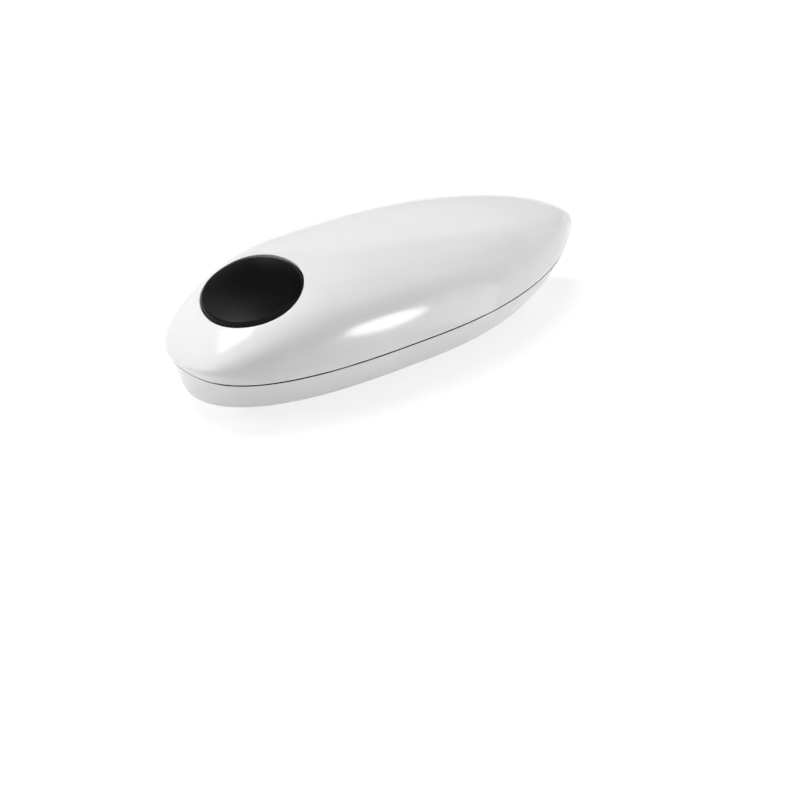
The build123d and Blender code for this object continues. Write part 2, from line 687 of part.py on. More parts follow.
# Bridge over the drive gear: two legs on the base, the upper bush in its hub.
bridge = disc(*drive_axle, BRIDGE_HUB, shaft_top, bridge_top)
for leg in legs:
    middle = ((DRIVE_STATION + leg[0]) / 2, leg[1] / 2)
    turn = degrees(atan2(leg[1], leg[0] - DRIVE_STATION))
    reach = hypot(leg[0] - DRIVE_STATION, leg[1])
    arm = Rot(0, 0, turn) * Box(reach, BRIDGE_ARM, bridge_top - shaft_top, align=BASE)
    bridge = bridge + Pos(place(middle[0]), middle[1], shaft_top) * arm
    bridge = bridge + disc(*leg, LEG_RADIUS + LEG_COLLAR, shaft_top, bridge_top)
    bridge = bridge + disc(*leg, LEG_RADIUS, base_top, shaft_top)
for leg in legs:
    bridge = bridge - through(leg, PLATE_SCREW)
save("drive_bridge", bridge - through(drive_axle, UPPER_BUSH))
upper_bush = disc(*drive_axle, UPPER_BUSH, shaft_top, bridge_top)
save("upper_bush", upper_bush - through(drive_axle, JOURNAL_RADIUS + RUNNING))
bridge_screw_length = bridge_top - BASE_LEVEL - SCREW_ROOM
save("bridge_screws", Compound([top_screw(leg, bridge_top, bridge_screw_length) for leg in legs]))

# Top plate over the fine gears, on three riveted spacer posts.
top_plate = plate(TOP_OUTLINE, top_level, top_level + PLATE_THICK)
for axle, radius in FIXED_AXLES:
    top_plate = top_plate - through(axle, radius)
for spot in SPACERS:
    top_plate = top_plate - through(spot, PLATE_SCREW)
for spot in CASE_SCREWS:
    top_plate = top_plate - through(spot, COVER_BOSS + PLATE_CLEARANCE)
save("gearbox_top", top_plate)
posts = []
for spot in SPACERS:
    post = disc(*spot, SPACER_RADIUS, base_top, top_level)
    post = post - disc(*spot, PLATE_SCREW, top_level - SPACER_THREAD, OVERHEAD)
    posts.append(post + disc(*spot, PLATE_SCREW, BASE_LEVEL, base_top))
save("spacer_posts", Compound(posts))
plate_seat = top_level + PLATE_THICK
save("plate_screws", Compound([top_screw(spot, plate_seat, TOP_SCREW_LENGTH) for spot in SPACERS]))

# Motor: drawn steel can, moulded end bell, two field magnets, wound armature and a bronze bush.
motor_low = FLOOR + MOTOR_LIFT
can_low = motor_low + BELL_HEIGHT
can_bore = MOTOR_RADIUS - MOTOR_WALL
bracket_low = first_low - BRACKET_GAP - BRACKET_THICK
bracket_high = bracket_low + BRACKET_THICK
can = disc(*motor_axle, MOTOR_RADIUS, can_low, bracket_low)
can = can - disc(*motor_axle, can_bore, can_low, bracket_low - MOTOR_WALL)
save("motor_can", can - through(motor_axle, NOSE_RADIUS))
motor_bush = disc(*motor_axle, NOSE_RADIUS, bracket_low - NOSE_LENGTH, bracket_high)
save("motor_bush", motor_bush - through(motor_axle, MOTOR_SHAFT + MOTOR_RUNNING))
bell = disc(*motor_axle, MOTOR_RADIUS, motor_low, can_low)
bell = bell + disc(*motor_axle, can_bore, can_low, can_low + BELL_SPIGOT)
bell = bell - disc(*motor_axle, BELL_HOLLOW, can_low - BELL_FLOOR, OVERHEAD)
bell = bell - disc(*motor_axle, MOTOR_SHAFT + MOTOR_RUNNING, motor_low + BELL_FLOOR, OVERHEAD)
save("motor_end_bell", bell)
field_bore = can_bore - FIELD_THICK
field = disc(*motor_axle, can_bore, can_low + FIELD_LOW, bracket_low - FIELD_HIGH)
field = field - through(motor_axle, field_bore)
field = field - block(motor_axle[0] - 2 * MOTOR_RADIUS, motor_axle[0] + 2 * MOTOR_RADIUS,
                      -FIELD_SPLIT / 2, FIELD_SPLIT / 2, 0, OVERHEAD)
save("motor_magnets", Compound(list(field.solids())))
armature = disc(*motor_axle, field_bore - AIR_GAP, can_low + CORE_LOW, bracket_low - CORE_HIGH)
for number in range(WINDING_SLOTS):
    angle = 2 * pi * (number + 0.5) / WINDING_SLOTS
    spot = (motor_axle[0] + WINDING_SLOT_OUT * cos(angle), motor_axle[1] + WINDING_SLOT_OUT * sin(angle))
    armature = armature - through(spot, WINDING_SLOT)
armature = armature + disc(*motor_axle, COMMUTATOR_RADIUS, can_low + COMMUTATOR_LOW, can_low + CORE_LOW)
armature = armature + disc(*motor_axle, MOTOR_SHAFT, motor_low + SHAFT_TAIL, first_high)
save("motor_armature", armature)
strap_posts = ((motor_axle[0], BRACKET_SCREW_OUT), (motor_axle[0], -BRACKET_SCREW_OUT))
strap = block(motor_axle[0] - BRACKET_HALF, motor_axle[0] + BRACKET_HALF, -BRACKET_REACH, BRACKET_REACH,
              bracket_low, bracket_high)
strap = strap - through(motor_axle, NOSE_RADIUS)
for spot in strap_posts:
    strap = strap - through(spot, PLATE_SCREW)
save("motor_bracket", strap)
save("bracket_screws", Compound([top_screw(spot, bracket_high, TOP_SCREW_LENGTH) for spot in strap_posts]))

# Cells in a two by two stack, bridged by sprung contact plates on the two end walls of the bay.
cell_bottom = FLOOR + CELL_LIFT
cell_start = BAY_START + FRONT_ROOM
rear_wall = cell_start + CELL_LENGTH + REAR_ROOM
cell_levels = [cell_bottom + CELL_RADIUS + row * CELL_PITCH for row in (0, 1)]
contact_low = cell_bottom + CONTACT_INSET
contact_high = cell_levels[1] + CELL_RADIUS - CONTACT_INSET
jacket = CELL_LENGTH - CELL_NUB_LENGTH
cell = Cylinder(CELL_RADIUS, jacket, align=BASE)
cell = cell + Pos(0, 0, jacket) * Cylinder(CELL_NUB, CELL_NUB_LENGTH, align=BASE)
cells = []
front_contacts = []
rear_contacts = []
for column in (-1, 1):
    across = column * CELL_PITCH / 2
    for row, height in enumerate(cell_levels):
        if (column > 0) == (row > 0):
            cells.append(Pos(place(cell_start), across, height) * Rot(0, 90, 0) * cell)
        else:
            cells.append(Pos(place(cell_start + CELL_LENGTH), across, height) * Rot(0, -90, 0) * cell)
    for contacts, wall, facing in ((front_contacts, BAY_START, 1), (rear_contacts, rear_wall, -1)):
        face = wall + CONTACT_THICK * facing
        sheet = block(min(wall, face), max(wall, face), across - CONTACT_HALF, across + CONTACT_HALF,
                      contact_low, contact_high)
        for height in cell_levels:
            dimple = Rot(0, 90 * facing, 0) * Cylinder(DIMPLE_RADIUS, CONTACT_THICK, align=BASE)
            sheet = sheet + Pos(place(face), across, height) * dimple
        contacts.append(sheet)
save("battery_cells", Compound(cells))
save("front_contacts", Compound(front_contacts))
save("rear_contacts", Compound(rear_contacts))

# Battery hatch: flat cover in the belly, swinging on two stub pivots at its tail end, grooved for a thumb.
bay_half = CELL_PITCH + HATCH_MARGIN
hatch_half = bay_half - HATCH_CLEARANCE
hatch_start = BAY_START + HATCH_CLEARANCE
pivot_station = rear_wall + HINGE_BACK
pivot_height = UNDERSIDE + HATCH_RISE
hatch_low = pivot_height - HATCH_THICK / 2
hinge_line = Pos(place(pivot_station), 0, pivot_height) * Rot(90, 0, 0)
hatch = block(hatch_start + HATCH_CLEARANCE, pivot_station, -hatch_half, hatch_half,
              hatch_low, hatch_low + HATCH_THICK)
hatch = hatch + hinge_line * Cylinder(HATCH_THICK / 2, 2 * hatch_half)
hatch = hatch + hinge_line * Cylinder(PIVOT_RADIUS, 2 * (hatch_half + PIVOT_REACH))
for groove in range(GRIP_GROOVES):
    station = hatch_start + GRIP_START + GRIP_PITCH * groove
    hatch = hatch - block(station, station + GRIP_WIDTH, -GRIP_HALF, GRIP_HALF,
                          hatch_low, hatch_low + GRIP_DEPTH)
save("battery_cover", hatch)

# Lower case: moulded tray with a tongue that centres the cover along the parting line.
outer_tray = tray(0)
lip_inset = WALL + LIP_CLEARANCE
case = outer_tray - tray(WALL)
case = case + (seam_band(LIP_THICK, lip_inset + LIP_THICK, SEAM - LIP_ROOT, SEAM) & outer_tray)
tongue = seam_band(lip_inset, lip_inset + LIP_THICK, SEAM - LIP_LAP, SEAM + LIP_HEIGHT)
tongue = tongue - block(-LIP_STOP, LIP_STOP, -WIDTH, WIDTH, 0, OVERHEAD)
tongue = tongue - block(LENGTH - LIP_STOP, LENGTH + LIP_STOP, -WIDTH, WIDTH, 0, OVERHEAD)
case = case + tongue

# Inside the lower case: sockets of the head and the motor, posts, screw bosses and the walls of the bay.
inside = [
    disc(*carrier_axle, CARRIER_RADIUS + CARRIER_RING, UNDERSIDE, ring_low - END_PLAY),
    disc(*drive_axle, BUSH_RADIUS + BUSH_WALL, UNDERSIDE, bush_top),
    disc(MAGNET_STATION, 0, MAGNET_RADIUS + MAGNET_WALL, UNDERSIDE, magnet_high + MAGNET_WALL),
    disc(*motor_axle, MOTOR_RADIUS + MOTOR_SEAT_WALL, UNDERSIDE, FLOOR + MOTOR_SEAT_RISE),
]
inside.extend(disc(*spot, POST_RADIUS, UNDERSIDE, BASE_LEVEL) for spot in BASE_POSTS)
inside.extend(disc(*spot, POST_RADIUS, UNDERSIDE, bracket_low) for spot in strap_posts)
inside.extend(disc(*spot, CASE_BOSS, UNDERSIDE, SEAM) & outer_tray for spot in CASE_SCREWS)
bay_top = cell_levels[1]
bay_first = BAY_START - BAY_WALL
bay_last = rear_wall + BAY_WALL
bay_out = bay_half + BAY_WALL
inside.append(block(bay_first, BAY_START, -bay_out, bay_out, UNDERSIDE, bay_top))
inside.append(block(rear_wall, bay_last, -bay_out, bay_out, FLOOR + HINGE_ROOM, bay_top))
inside.append(block(bay_first, bay_last, -bay_out, -bay_half, UNDERSIDE, bay_top))
inside.append(block(bay_first, bay_last, bay_half, bay_out, UNDERSIDE, bay_top))
for piece in inside:
    case = case + piece
for spot in FEET:
    case = case + disc(*spot, FOOT_RADIUS, 0, FLOOR)

# Openings of the lower case: bores of the head, hatch mouth, thumb notch, hinge and screw holes.
case = case - through(carrier_axle, CARRIER_RADIUS + RUNNING)
case = case - through(drive_axle, BUSH_RADIUS)
case = case - disc(MAGNET_STATION, 0, MAGNET_RADIUS, 0, magnet_high)
case = case - disc(*motor_axle, MOTOR_RADIUS + MOTOR_CLEARANCE, FLOOR, OVERHEAD)
hatch_end = pivot_station + HATCH_THICK / 2 + HATCH_CLEARANCE
case = case - block(hatch_start, hatch_end, -bay_half, bay_half, 0, FLOOR)
case = case - block(hatch_start - NOTCH_LONG, hatch_start, -NOTCH_HALF, NOTCH_HALF,
                    0, UNDERSIDE + NOTCH_DEPTH)
pin_reach = hatch_half + PIVOT_REACH + PIVOT_ROOM
case = case - hinge_line * Cylinder(PIVOT_RADIUS + PIVOT_CLEARANCE, 2 * pin_reach)
for spot in BASE_POSTS:
    case = case - disc(*spot, PLATE_SCREW, base_top - BASE_SCREW_LENGTH - SCREW_ROOM, OVERHEAD)
for spot in strap_posts:
    case = case - disc(*spot, PLATE_SCREW, bracket_high - TOP_SCREW_LENGTH - SCREW_ROOM, OVERHEAD)
for spot in CASE_SCREWS:
    case = case - disc(*spot, CASE_HEAD + CASE_HEAD_ROOM, 0, CASE_SEAT)
    case = case - through(spot, CASE_SCREW + SCREW_ROOM)
save("bottom_case", case)
case_screw = pan_screw(CASE_SCREW, CASE_HEAD, CASE_HEAD_HEIGHT, CASE_SCREW_LENGTH)
case_screws = [Pos(place(station), across, CASE_SEAT) * case_screw for station, across in CASE_SCREWS]
save("case_screws", Compound(case_screws))
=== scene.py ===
"""Looks of the battery can opener: gloss white shell, black push button, cutting head, drive and cells."""
import json
from math import atan2, cos, exp, hypot, pi, radians, sin, sqrt

import bmesh
import bpy
from mathutils import Matrix, Vector


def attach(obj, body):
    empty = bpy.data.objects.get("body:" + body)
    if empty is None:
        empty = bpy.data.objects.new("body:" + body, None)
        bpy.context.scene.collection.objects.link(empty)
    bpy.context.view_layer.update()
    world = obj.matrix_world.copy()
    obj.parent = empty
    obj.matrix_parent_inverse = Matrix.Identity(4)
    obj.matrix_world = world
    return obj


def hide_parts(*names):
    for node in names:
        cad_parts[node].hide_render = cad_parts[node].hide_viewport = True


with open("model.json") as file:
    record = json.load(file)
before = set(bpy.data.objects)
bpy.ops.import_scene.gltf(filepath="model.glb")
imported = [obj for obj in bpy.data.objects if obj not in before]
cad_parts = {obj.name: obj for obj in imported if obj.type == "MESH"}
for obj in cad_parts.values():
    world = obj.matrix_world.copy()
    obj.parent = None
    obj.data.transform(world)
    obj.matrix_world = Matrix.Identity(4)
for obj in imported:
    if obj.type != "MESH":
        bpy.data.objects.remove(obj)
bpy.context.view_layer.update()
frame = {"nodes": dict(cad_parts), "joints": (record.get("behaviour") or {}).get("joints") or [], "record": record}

# Lower case: shallow tray moulded in gloss white plastic, its flat belly bored for the cutting head and
# open for the battery hatch, with screw bosses, the walls of the battery bay and two feet. Outside it
# follows the teardrop of the whole shell, which is blunt at the nose and pointed at the tail.
shell_length = 0.204
shell_width = 0.076
nose_end = -shell_length / 2
tail_end = shell_length / 2
crown_rise = 0.0284
belly_drop = 0.0192
keel_drop = 0.037
belly_edge = 0.0004
underside = 0.0055
equator = underside + belly_drop
shell_wall = 0.0022
seam_drop = 0.0042
seam_level = equator - seam_drop
seam_gap = 0.0004
# Each curve has its crest as a share of the length, then power and root toward nose and toward tail.
plan_curve = (0.49, (2.88, 2.54), (2.17, 1.24))
roof_curve = (0.31, (2.0, 1.14), (2.0, 2.32))
upper_across = 2.76
upper_rise = 3.4
lower_round = 1.8
belly_power = 10.0
nose_inset = 1.4
tail_inset = 2.0
tip_round = 0.004
tip_reach = 0.012
tip_power = 4
nose_rake = 0.003
rake_share = 0.14
first_reach, least_reach, tangent_steps = 1.2, 0.5, 12
skin_sides, skin_rings = 176, 144
hair = 1e-7


def swell(share, curve):
    """Relative half size at a share of the length, 0 at both tips and 1 at the crest."""
    crest, nose, tail = curve
    if share < crest:
        reach = (crest - share) / crest
        power, root = nose
    else:
        reach = (share - crest) / (1 - crest)
        power, root = tail
    return max(0.0, 1 - min(1.0, reach) ** power) ** (1 / root)


def plan_share(share):
    """Relative half width, with the point of the tail rounded off."""
    wide = swell(share, plan_curve)
    short = (1 - share) * shell_length
    tip = sqrt(2 * tip_round * short) * exp(-short / tip_reach) / (shell_width / 2)
    return (wide ** tip_power + tip ** tip_power) ** (1 / tip_power)


def upper_reach(across, rise):
    """How far along a direction of the cross section the roof lies, found by tangent steps."""
    reach = first_reach
    for _ in range(tangent_steps):
        side = (reach * across) ** upper_across
        top = (reach * rise) ** upper_rise
        slope = (upper_across * side + upper_rise * top) / reach
        reach = max(least_reach, reach - (side + top - 1) / slope)
    return reach


def shell_ends(inset):
    """Where the teardrop begins and ends, or one that lies inside it by a wall."""
    return nose_end + nose_inset * inset, tail_end - tail_inset * inset


def shell_point(direction, inset):
    """Point of the shell in a direction of a ball, whose poles are the nose and the tail."""
    share = min(1.0, max(0.0, (1 + direction.x) / 2))
    plan = plan_share(share)
    turn = atan2(direction.z, direction.y)
    across, rise = abs(cos(turn)), abs(sin(turn))
    if direction.z >= 0:
        reach = upper_reach(across, rise)
        height = (crown_rise - inset) * swell(share, roof_curve) * reach * rise
    else:
        reach = (across ** lower_round + rise ** lower_round) ** (-1 / lower_round)
        free = max(hair, (keel_drop - inset) * plan * reach * rise)
        limit = belly_drop + belly_edge
        height = -((free ** -belly_power + limit ** -belly_power) ** (-1 / belly_power))
    side = (shell_width / 2 - inset) * plan * reach * across
    if direction.y < 0:
        side = -side
    first, last = shell_ends(inset)
    along = first + (last - first) * share
    if height < 0:
        fade = max(0.0, 1 - share / rake_share) ** 2
        along += nose_rake * fade * sin(pi * min(1.0, -height / belly_drop))
    return Vector((along, side, equator + height))


def fresh(name, add, **sizes):
    """A new primitive, alone selected, with its place moved into its mesh."""
    bpy.ops.object.select_all(action="DESELECT")
    add(**sizes)
    piece = bpy.context.active_object
    piece.name = name
    bpy.ops.object.transform_apply(location=True, rotation=True, scale=True)
    return piece


def shell_form(name, inset=0.0):
    """The whole teardrop as one closed skin."""
    piece = fresh(name, bpy.ops.mesh.primitive_uv_sphere_add, segments=skin_sides, ring_count=skin_rings,
                  radius=1, rotation=(0, pi / 2, 0))
    for vert in piece.data.vertices:
        vert.co = shell_point(vert.co.normalized(), inset)
    return piece


def edit(piece, mode):
    """Opens one piece in edit mode with everything in it selected."""
    bpy.ops.object.select_all(action="DESELECT")
    piece.select_set(True)
    bpy.context.view_layer.objects.active = piece
    bpy.ops.object.mode_set(mode="EDIT")
    bpy.ops.mesh.select_mode(type=mode)
    bpy.ops.mesh.select_all(action="SELECT")


def choose(kind, rule):
    """Selects only the verts, edges or faces of the piece in edit mode that a rule picks."""
    bpy.ops.mesh.select_all(action="DESELECT")
    mesh = bmesh.from_edit_mesh(bpy.context.active_object.data)
    for element in getattr(mesh, kind):
        if rule(element):
            element.select_set(True)
    bmesh.update_edit_mesh(bpy.context.active_object.data)


def face_outward():
    """Turns all faces of the piece in edit mode outward."""
    bpy.ops.mesh.select_all(action="SELECT")
    bpy.ops.mesh.normals_make_consistent(inside=False)


def close_edit():
    """Leaves edit mode."""
    bpy.ops.object.mode_set(mode="OBJECT")


def slice_level(level, keep, fill=False):
    """Cuts the piece in edit mode at a level and keeps what lies above (1) or below (-1)."""
    bpy.ops.mesh.select_all(action="SELECT")
    bpy.ops.mesh.bisect(plane_co=(0, 0, level), plane_no=(0, 0, -keep), clear_outer=True, use_fill=fill,
                        threshold=hair)


def modify(piece, kind, **settings):
    """Adds one modifier and applies it."""
    bpy.context.view_layer.objects.active = piece
    step = piece.modifiers.new(kind.lower(), kind)
    for name, value in settings.items():
        setattr(step, name, value)
    bpy.ops.object.modifier_apply(modifier=step.name)


def break_edges(piece, width, degrees):
    """Bevels every edge of a piece that is sharper than an angle."""
    modify(piece, "BEVEL", width=width, segments=2, limit_method="ANGLE", angle_limit=radians(degrees))


def join(piece, *others):
    """Joins other pieces into the first."""
    bpy.ops.object.select_all(action="DESELECT")
    for other in others:
        other.select_set(True)
    piece.select_set(True)
    bpy.context.view_layer.objects.active = piece
    bpy.ops.object.join()


def carve(piece, tool, operation):
    """Cuts with, adds or keeps what is common with a tool, which is then thrown away."""
    modify(piece, "BOOLEAN", object=tool, operation=operation, solver="EXACT")
    bpy.data.objects.remove(tool)


def smooth(piece, degrees):
    """Smooth shading, with edges sharper than an angle kept crisp."""
    bpy.ops.object.select_all(action="DESELECT")
    piece.select_set(True)
    bpy.context.view_layer.objects.active = piece
    bpy.ops.object.shade_smooth_by_angle(angle=radians(degrees))


def rod(name, along, across, radius, low, high, sides=64):
    """Upright cylinder, the start of a boss, a foot or a drill."""
    return fresh(name, bpy.ops.mesh.primitive_cylinder_add, vertices=sides, radius=radius,
                 depth=high - low, location=(along, across, (low + high) / 2))


def cross_rod(name, along, level, radius, half):
    """Round bar across the opener, the start of the hinge pins and their sockets."""
    return fresh(name, bpy.ops.mesh.primitive_cylinder_add, vertices=32, radius=radius, depth=2 * half,
                 location=(along, 0, level), rotation=(pi / 2, 0, 0))


def bar(name, low, high):
    """Box between two corners, the start of a wall, a plate or a cutter."""
    middle = (Vector(low) + Vector(high)) / 2
    size = Vector(high) - Vector(low)
    return fresh(name, bpy.ops.mesh.primitive_cube_add, size=1, location=middle, scale=size)


class Wire:
    """One value in a material's node tree. Sums and products of wires add Math nodes."""

    def __init__(self, tree, socket):
        self.tree = tree
        self.socket = socket

    def node(self, kind, settings=None, sockets=None, output=0):
        """Adds a node: its settings first, then the values and links of its sockets."""
        made = self.tree.nodes.new(kind)
        for name, value in (settings or {}).items():
            setattr(made, name, value)
        for name, value in (sockets or {}).items():
            if isinstance(value, Wire):
                self.tree.links.new(value.socket, made.inputs[name])
            else:
                made.inputs[name].default_value = value
        if made.outputs:
            return Wire(self.tree, made.outputs[output])

    def math(self, operation, one, two):
        return self.node("ShaderNodeMath", {"operation": operation}, {0: one, 1: two})

    def __add__(self, other):
        return self.math("ADD", self, other)

    def __radd__(self, other):
        return self.math("ADD", other, self)

    def __sub__(self, other):
        return self.math("SUBTRACT", self, other)

    def __rsub__(self, other):
        return self.math("SUBTRACT", other, self)

    def __mul__(self, other):
        return self.math("MULTIPLY", self, other)

    def __rmul__(self, other):
        return self.math("MULTIPLY", other, self)

    def __pow__(self, other):
        return self.math("POWER", self, other)

    def axis(self, letter):
        """One axis of these coordinates."""
        return self.node("ShaderNodeSeparateXYZ", None, {0: self}, output=letter)

    def noise(self, scale, detail=3.0, roughness=0.5):
        """Cloudy value around 0.5 over these coordinates."""
        return self.node("ShaderNodeTexNoise", None,
                         {"Vector": self, "Scale": scale, "Detail": detail, "Roughness": roughness})

    def between(self, low, high):
        """The value's range from low to high stretched to 0 to 1, held at the ends."""
        return self.node("ShaderNodeMapRange", None,
                         {"Value": self, "From Min": low, "From Max": high, "To Min": 0.0, "To Max": 1.0})

    def blend(self, one, two):
        """Colour between two colours, by this value."""
        return self.node("ShaderNodeMix", {"data_type": "RGBA"}, {0: self, 6: one, 7: two}, output=2)

    def bump(self, strength, distance):
        """Surface relief from this value."""
        return self.node("ShaderNodeBump", None,
                         {"Height": self, "Strength": strength, "Distance": distance})


class Finish:
    """A material with one Principled shader over the piece's own coordinates."""

    def __init__(self, name, **fixed):
        self.material = bpy.data.materials.new(name)
        self.material.use_nodes = True
        tree = self.material.node_tree
        self.shader = tree.nodes["Principled BSDF"]
        self.place = Wire(tree, tree.nodes.new("ShaderNodeTexCoord").outputs["Object"])
        for socket, value in fixed.items():
            self.shader.inputs[socket.replace("_", " ").title().replace("Ior", "IOR")].default_value = value

    def feed(self, socket, wire):
        """Leads a value that changes over the surface into the shader."""
        self.place.tree.links.new(wire.socket, self.shader.inputs[socket])


def grey(value, warm=0.0):
    """Colour of a grey, with a little warmth."""
    return (value + warm, value, value - warm, 1.0)


def wear(piece, material):
    """Gives a modelled piece its one material."""
    piece.data.materials.clear()
    piece.data.materials.append(material)


# The white is dyed right through and polished in the mould, with faint orange peel and a slow change of
# gloss. The parting line has painted shade in its gap, less toward the tail, and it fades out at the nose.
polish, cloud_dull, handled_dull = 0.13, 0.05, 0.04
white_low, white_high = grey(0.80, 0.002), grey(0.83, 0.001)
seam_shade_dark, seam_shade_light = grey(0.02), grey(0.25)
line_core, line_edge = seam_gap * 0.5, seam_gap * 0.9
shell_white = Finish("shell_white", specular_ior_level=0.5, ior=1.5)
cloud = shell_white.place.noise(scale=22.0, detail=2.0)
peel = shell_white.place.noise(scale=420.0, detail=2.0)
handled = shell_white.place.noise(scale=95.0, detail=5.0, roughness=0.62).between(low=0.5, high=0.72)
body_tone = cloud.between(low=0.35, high=0.65).blend(white_low, white_high)
length_wire = shell_white.place.axis("X")
over_line = shell_white.place.axis("Z") - (seam_level + seam_gap / 2)
off_line = over_line.math("ABSOLUTE", over_line, 0.0)
# Painted shade in the gap of the parting line: dark toward the nose, paler toward the tail, and faded out at the
# nose where light falls into it.
seam_shade_tone = length_wire.between(low=0.005, high=0.05).blend(seam_shade_dark, seam_shade_light)
seam_shade_mask = (1.0 - off_line.between(line_core, line_edge)) * length_wire.between(low=-0.1005, high=-0.094)
shell_white.feed("Base Color", seam_shade_mask.blend(body_tone, seam_shade_tone))
shell_white.feed("Roughness", polish + cloud * cloud_dull + handled * handled_dull)
shell_white.feed("Normal", peel.bump(strength=0.10, distance=0.00004))

carrier_spot = (-0.0765, 0.0)
carrier_radius = 0.0124
carrier_play = 0.00005
drive_spot = (-0.056, 0.0)
bush_radius = 0.005
magnet_spot = (-0.040, 0.0)
magnet_radius = 0.005
magnet_top = 0.0083
screw_spots = ((-0.074, 0.019), (-0.074, -0.019), (-0.022, 0.026), (-0.022, -0.026), (0.070, 0.0))
screw_boss = 0.0041
screw_sink = 0.003
screw_seat = 0.011
screw_hole = 0.0016
screw_hole_top = seam_level + 0.01
foot_spots = ((0.068, 0.006), (0.068, -0.006))
foot_radius = 0.0035
case_floor = underside + shell_wall
bay_first, bay_last = 0.008, 0.0607
bay_half = 0.015
bay_wall = 0.0016
bay_top = 0.0303
mouth_first, mouth_last = 0.0083, 0.0627
mouth_half = 0.01505
notch_long, notch_half, notch_depth = 0.006, 0.007, 0.0008
pin_spot, pin_level = 0.0614, 0.0066
pin_radius, pin_reach, pin_play = 0.0007, 0.0012, 0.0001
wall_bite = 0.0006
below = -0.001
drill_top = case_floor + 0.002
carrier_sides, bore_sides = 128, 96
case_break, sharp_edge, crisp_edge = 0.0003, 40, 32

case = shell_form("lower_case")
edit(case, "FACE")
slice_level(seam_level, -1)
slice_level(underside, 1, True)
bpy.ops.mesh.inset(thickness=belly_edge)
close_edit()
lining = shell_form("case_lining", shell_wall)
edit(lining, "FACE")
slice_level(seam_level, -1)
slice_level(case_floor, 1, True)
close_edit()
join(case, lining)
edit(case, "EDGE")
choose("edges", lambda edge: edge.is_boundary)
bpy.ops.mesh.fill(use_beauty=True)
face_outward()
close_edit()

boss_low, boss_high = underside + wall_bite, seam_level - wall_bite
bosses = [rod("boss", *spot, screw_boss, boss_low, boss_high) for spot in screw_spots]
join(*bosses)
carve(bosses[0], shell_form("tray_outside", wall_bite), "INTERSECT")
carve(case, bosses[0], "UNION")
feet = [rod("foot", *spot, foot_radius, 0, case_floor - wall_bite) for spot in foot_spots]
join(*feet)
carve(case, feet[0], "UNION")
bay = bar("bay", (bay_first - bay_wall, -bay_half - bay_wall, case_floor - wall_bite),
          (bay_last + bay_wall, bay_half + bay_wall, bay_top))
bay_inside = bar("bay_inside", (bay_first, -bay_half, 0), (bay_last, bay_half, 2 * bay_top))
carve(bay, bay_inside, "DIFFERENCE")
carve(case, bay, "UNION")
cutters = [rod("drill", *carrier_spot, carrier_radius + carrier_play, below, drill_top, carrier_sides),
           rod("drill", *drive_spot, bush_radius, below, drill_top, bore_sides),
           rod("drill", *magnet_spot, magnet_radius, below, magnet_top, bore_sides)]
for spot in screw_spots:
    cutters.append(rod("drill", *spot, screw_sink, below, screw_seat))
    cutters.append(rod("drill", *spot, screw_hole, screw_seat - wall_bite, screw_hole_top))
cutters.append(bar("hatch_mouth", (mouth_first, -mouth_half, below),
                   (mouth_last, mouth_half, case_floor + wall_bite)))
cutters.append(bar("thumb_notch", (mouth_first - notch_long, -notch_half, below),
                   (mouth_first + wall_bite, notch_half, underside + notch_depth)))
cutters.append(cross_rod("hinge_socket", pin_spot, pin_level, pin_radius + pin_play,
                         mouth_half + pin_reach + pin_play))
for tool in cutters:
    carve(case, tool, "DIFFERENCE")
break_edges(case, case_break, sharp_edge)
smooth(case, crisp_edge)
wear(case, shell_white.material)
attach(case, "housing")
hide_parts("bottom_case")

# Hub bush: sintered bronze sleeve with a flange under the belly, pressed into the lower case. The drive
# shaft runs in it. The other sintered bronze pieces are the upper bush, the motor's bush and its pinion.
turning_pitch = 3200.0
edge_break, turned_sharp = 0.00015, 25
shaft_bore = 0.00305
bush_flange = 0.0062
bush_outside = 0.00498
bush_low, bush_high = 0.0049, 0.0098
bronze_bright = (0.62, 0.42, 0.20, 1)
cloud_middle = (0.3, 0.7)
same = 1e-6


def turned(name, spot, profile, bored=False, sides=96, broken=edge_break):
    """Piece turned about an upright axis, a ring drawn out along a profile of radii and levels."""
    axis = Vector((spot[0], spot[1], 0))
    piece = fresh(name, bpy.ops.mesh.primitive_circle_add, vertices=sides, radius=profile[0][0],
                  location=axis + Vector((0, 0, profile[0][1])))
    edit(piece, "EDGE")
    for radius, level in profile[1:]:
        bpy.ops.mesh.extrude_region_move()
        mesh = bmesh.from_edit_mesh(piece.data)
        for vert in mesh.verts:
            if vert.select:
                way = (vert.co - axis).xy.normalized() * radius
                vert.co = axis + Vector((way.x, way.y, level))
        bmesh.update_edit_mesh(piece.data)
    if bored:
        bpy.ops.mesh.select_all(action="SELECT")
        bpy.ops.mesh.remove_doubles(threshold=same)
    else:
        bpy.ops.mesh.extrude_region_move()
        bpy.ops.mesh.merge(type="CENTER")
        choose("edges", lambda edge: edge.is_boundary)
        bpy.ops.mesh.extrude_region_move()
        bpy.ops.mesh.merge(type="CENTER")
    face_outward()
    close_edit()
    if broken:
        break_edges(piece, broken, turned_sharp)
    smooth(piece, crisp_edge)
    return piece


def darker(colour, share):
    """The same colour at a share of its brightness."""
    return tuple(share * part for part in colour[:3]) + (1.0,)


def turned_metal(name, spot, colour, dull):
    """Metal with the fine rings of turning or grinding about an upright axis, and a cloudy tone."""
    made = Finish(name, metallic=1.0)
    off_x = made.place.axis("X") - spot[0]
    off_y = made.place.axis("Y") - spot[1]
    radius = (off_x * off_x + off_y * off_y) ** 0.5
    rings = made.place.node("ShaderNodeCombineXYZ", None, {"X": radius}).noise(turning_pitch, detail=2.0)
    tone = made.place.noise(scale=180.0)
    scuff = made.place.noise(scale=1500.0, detail=4.0, roughness=0.7).between(low=0.55, high=0.75)
    made.feed("Base Color", tone.between(*cloud_middle).blend(darker(colour, share=0.78), colour))
    ring_dull, scuff_dull = 0.08, 0.12
    made.feed("Roughness", dull - 0.05 + rings * ring_dull + scuff * scuff_dull)
    made.feed("Normal", rings.bump(strength=0.25, distance=0.00003))
    return made.material


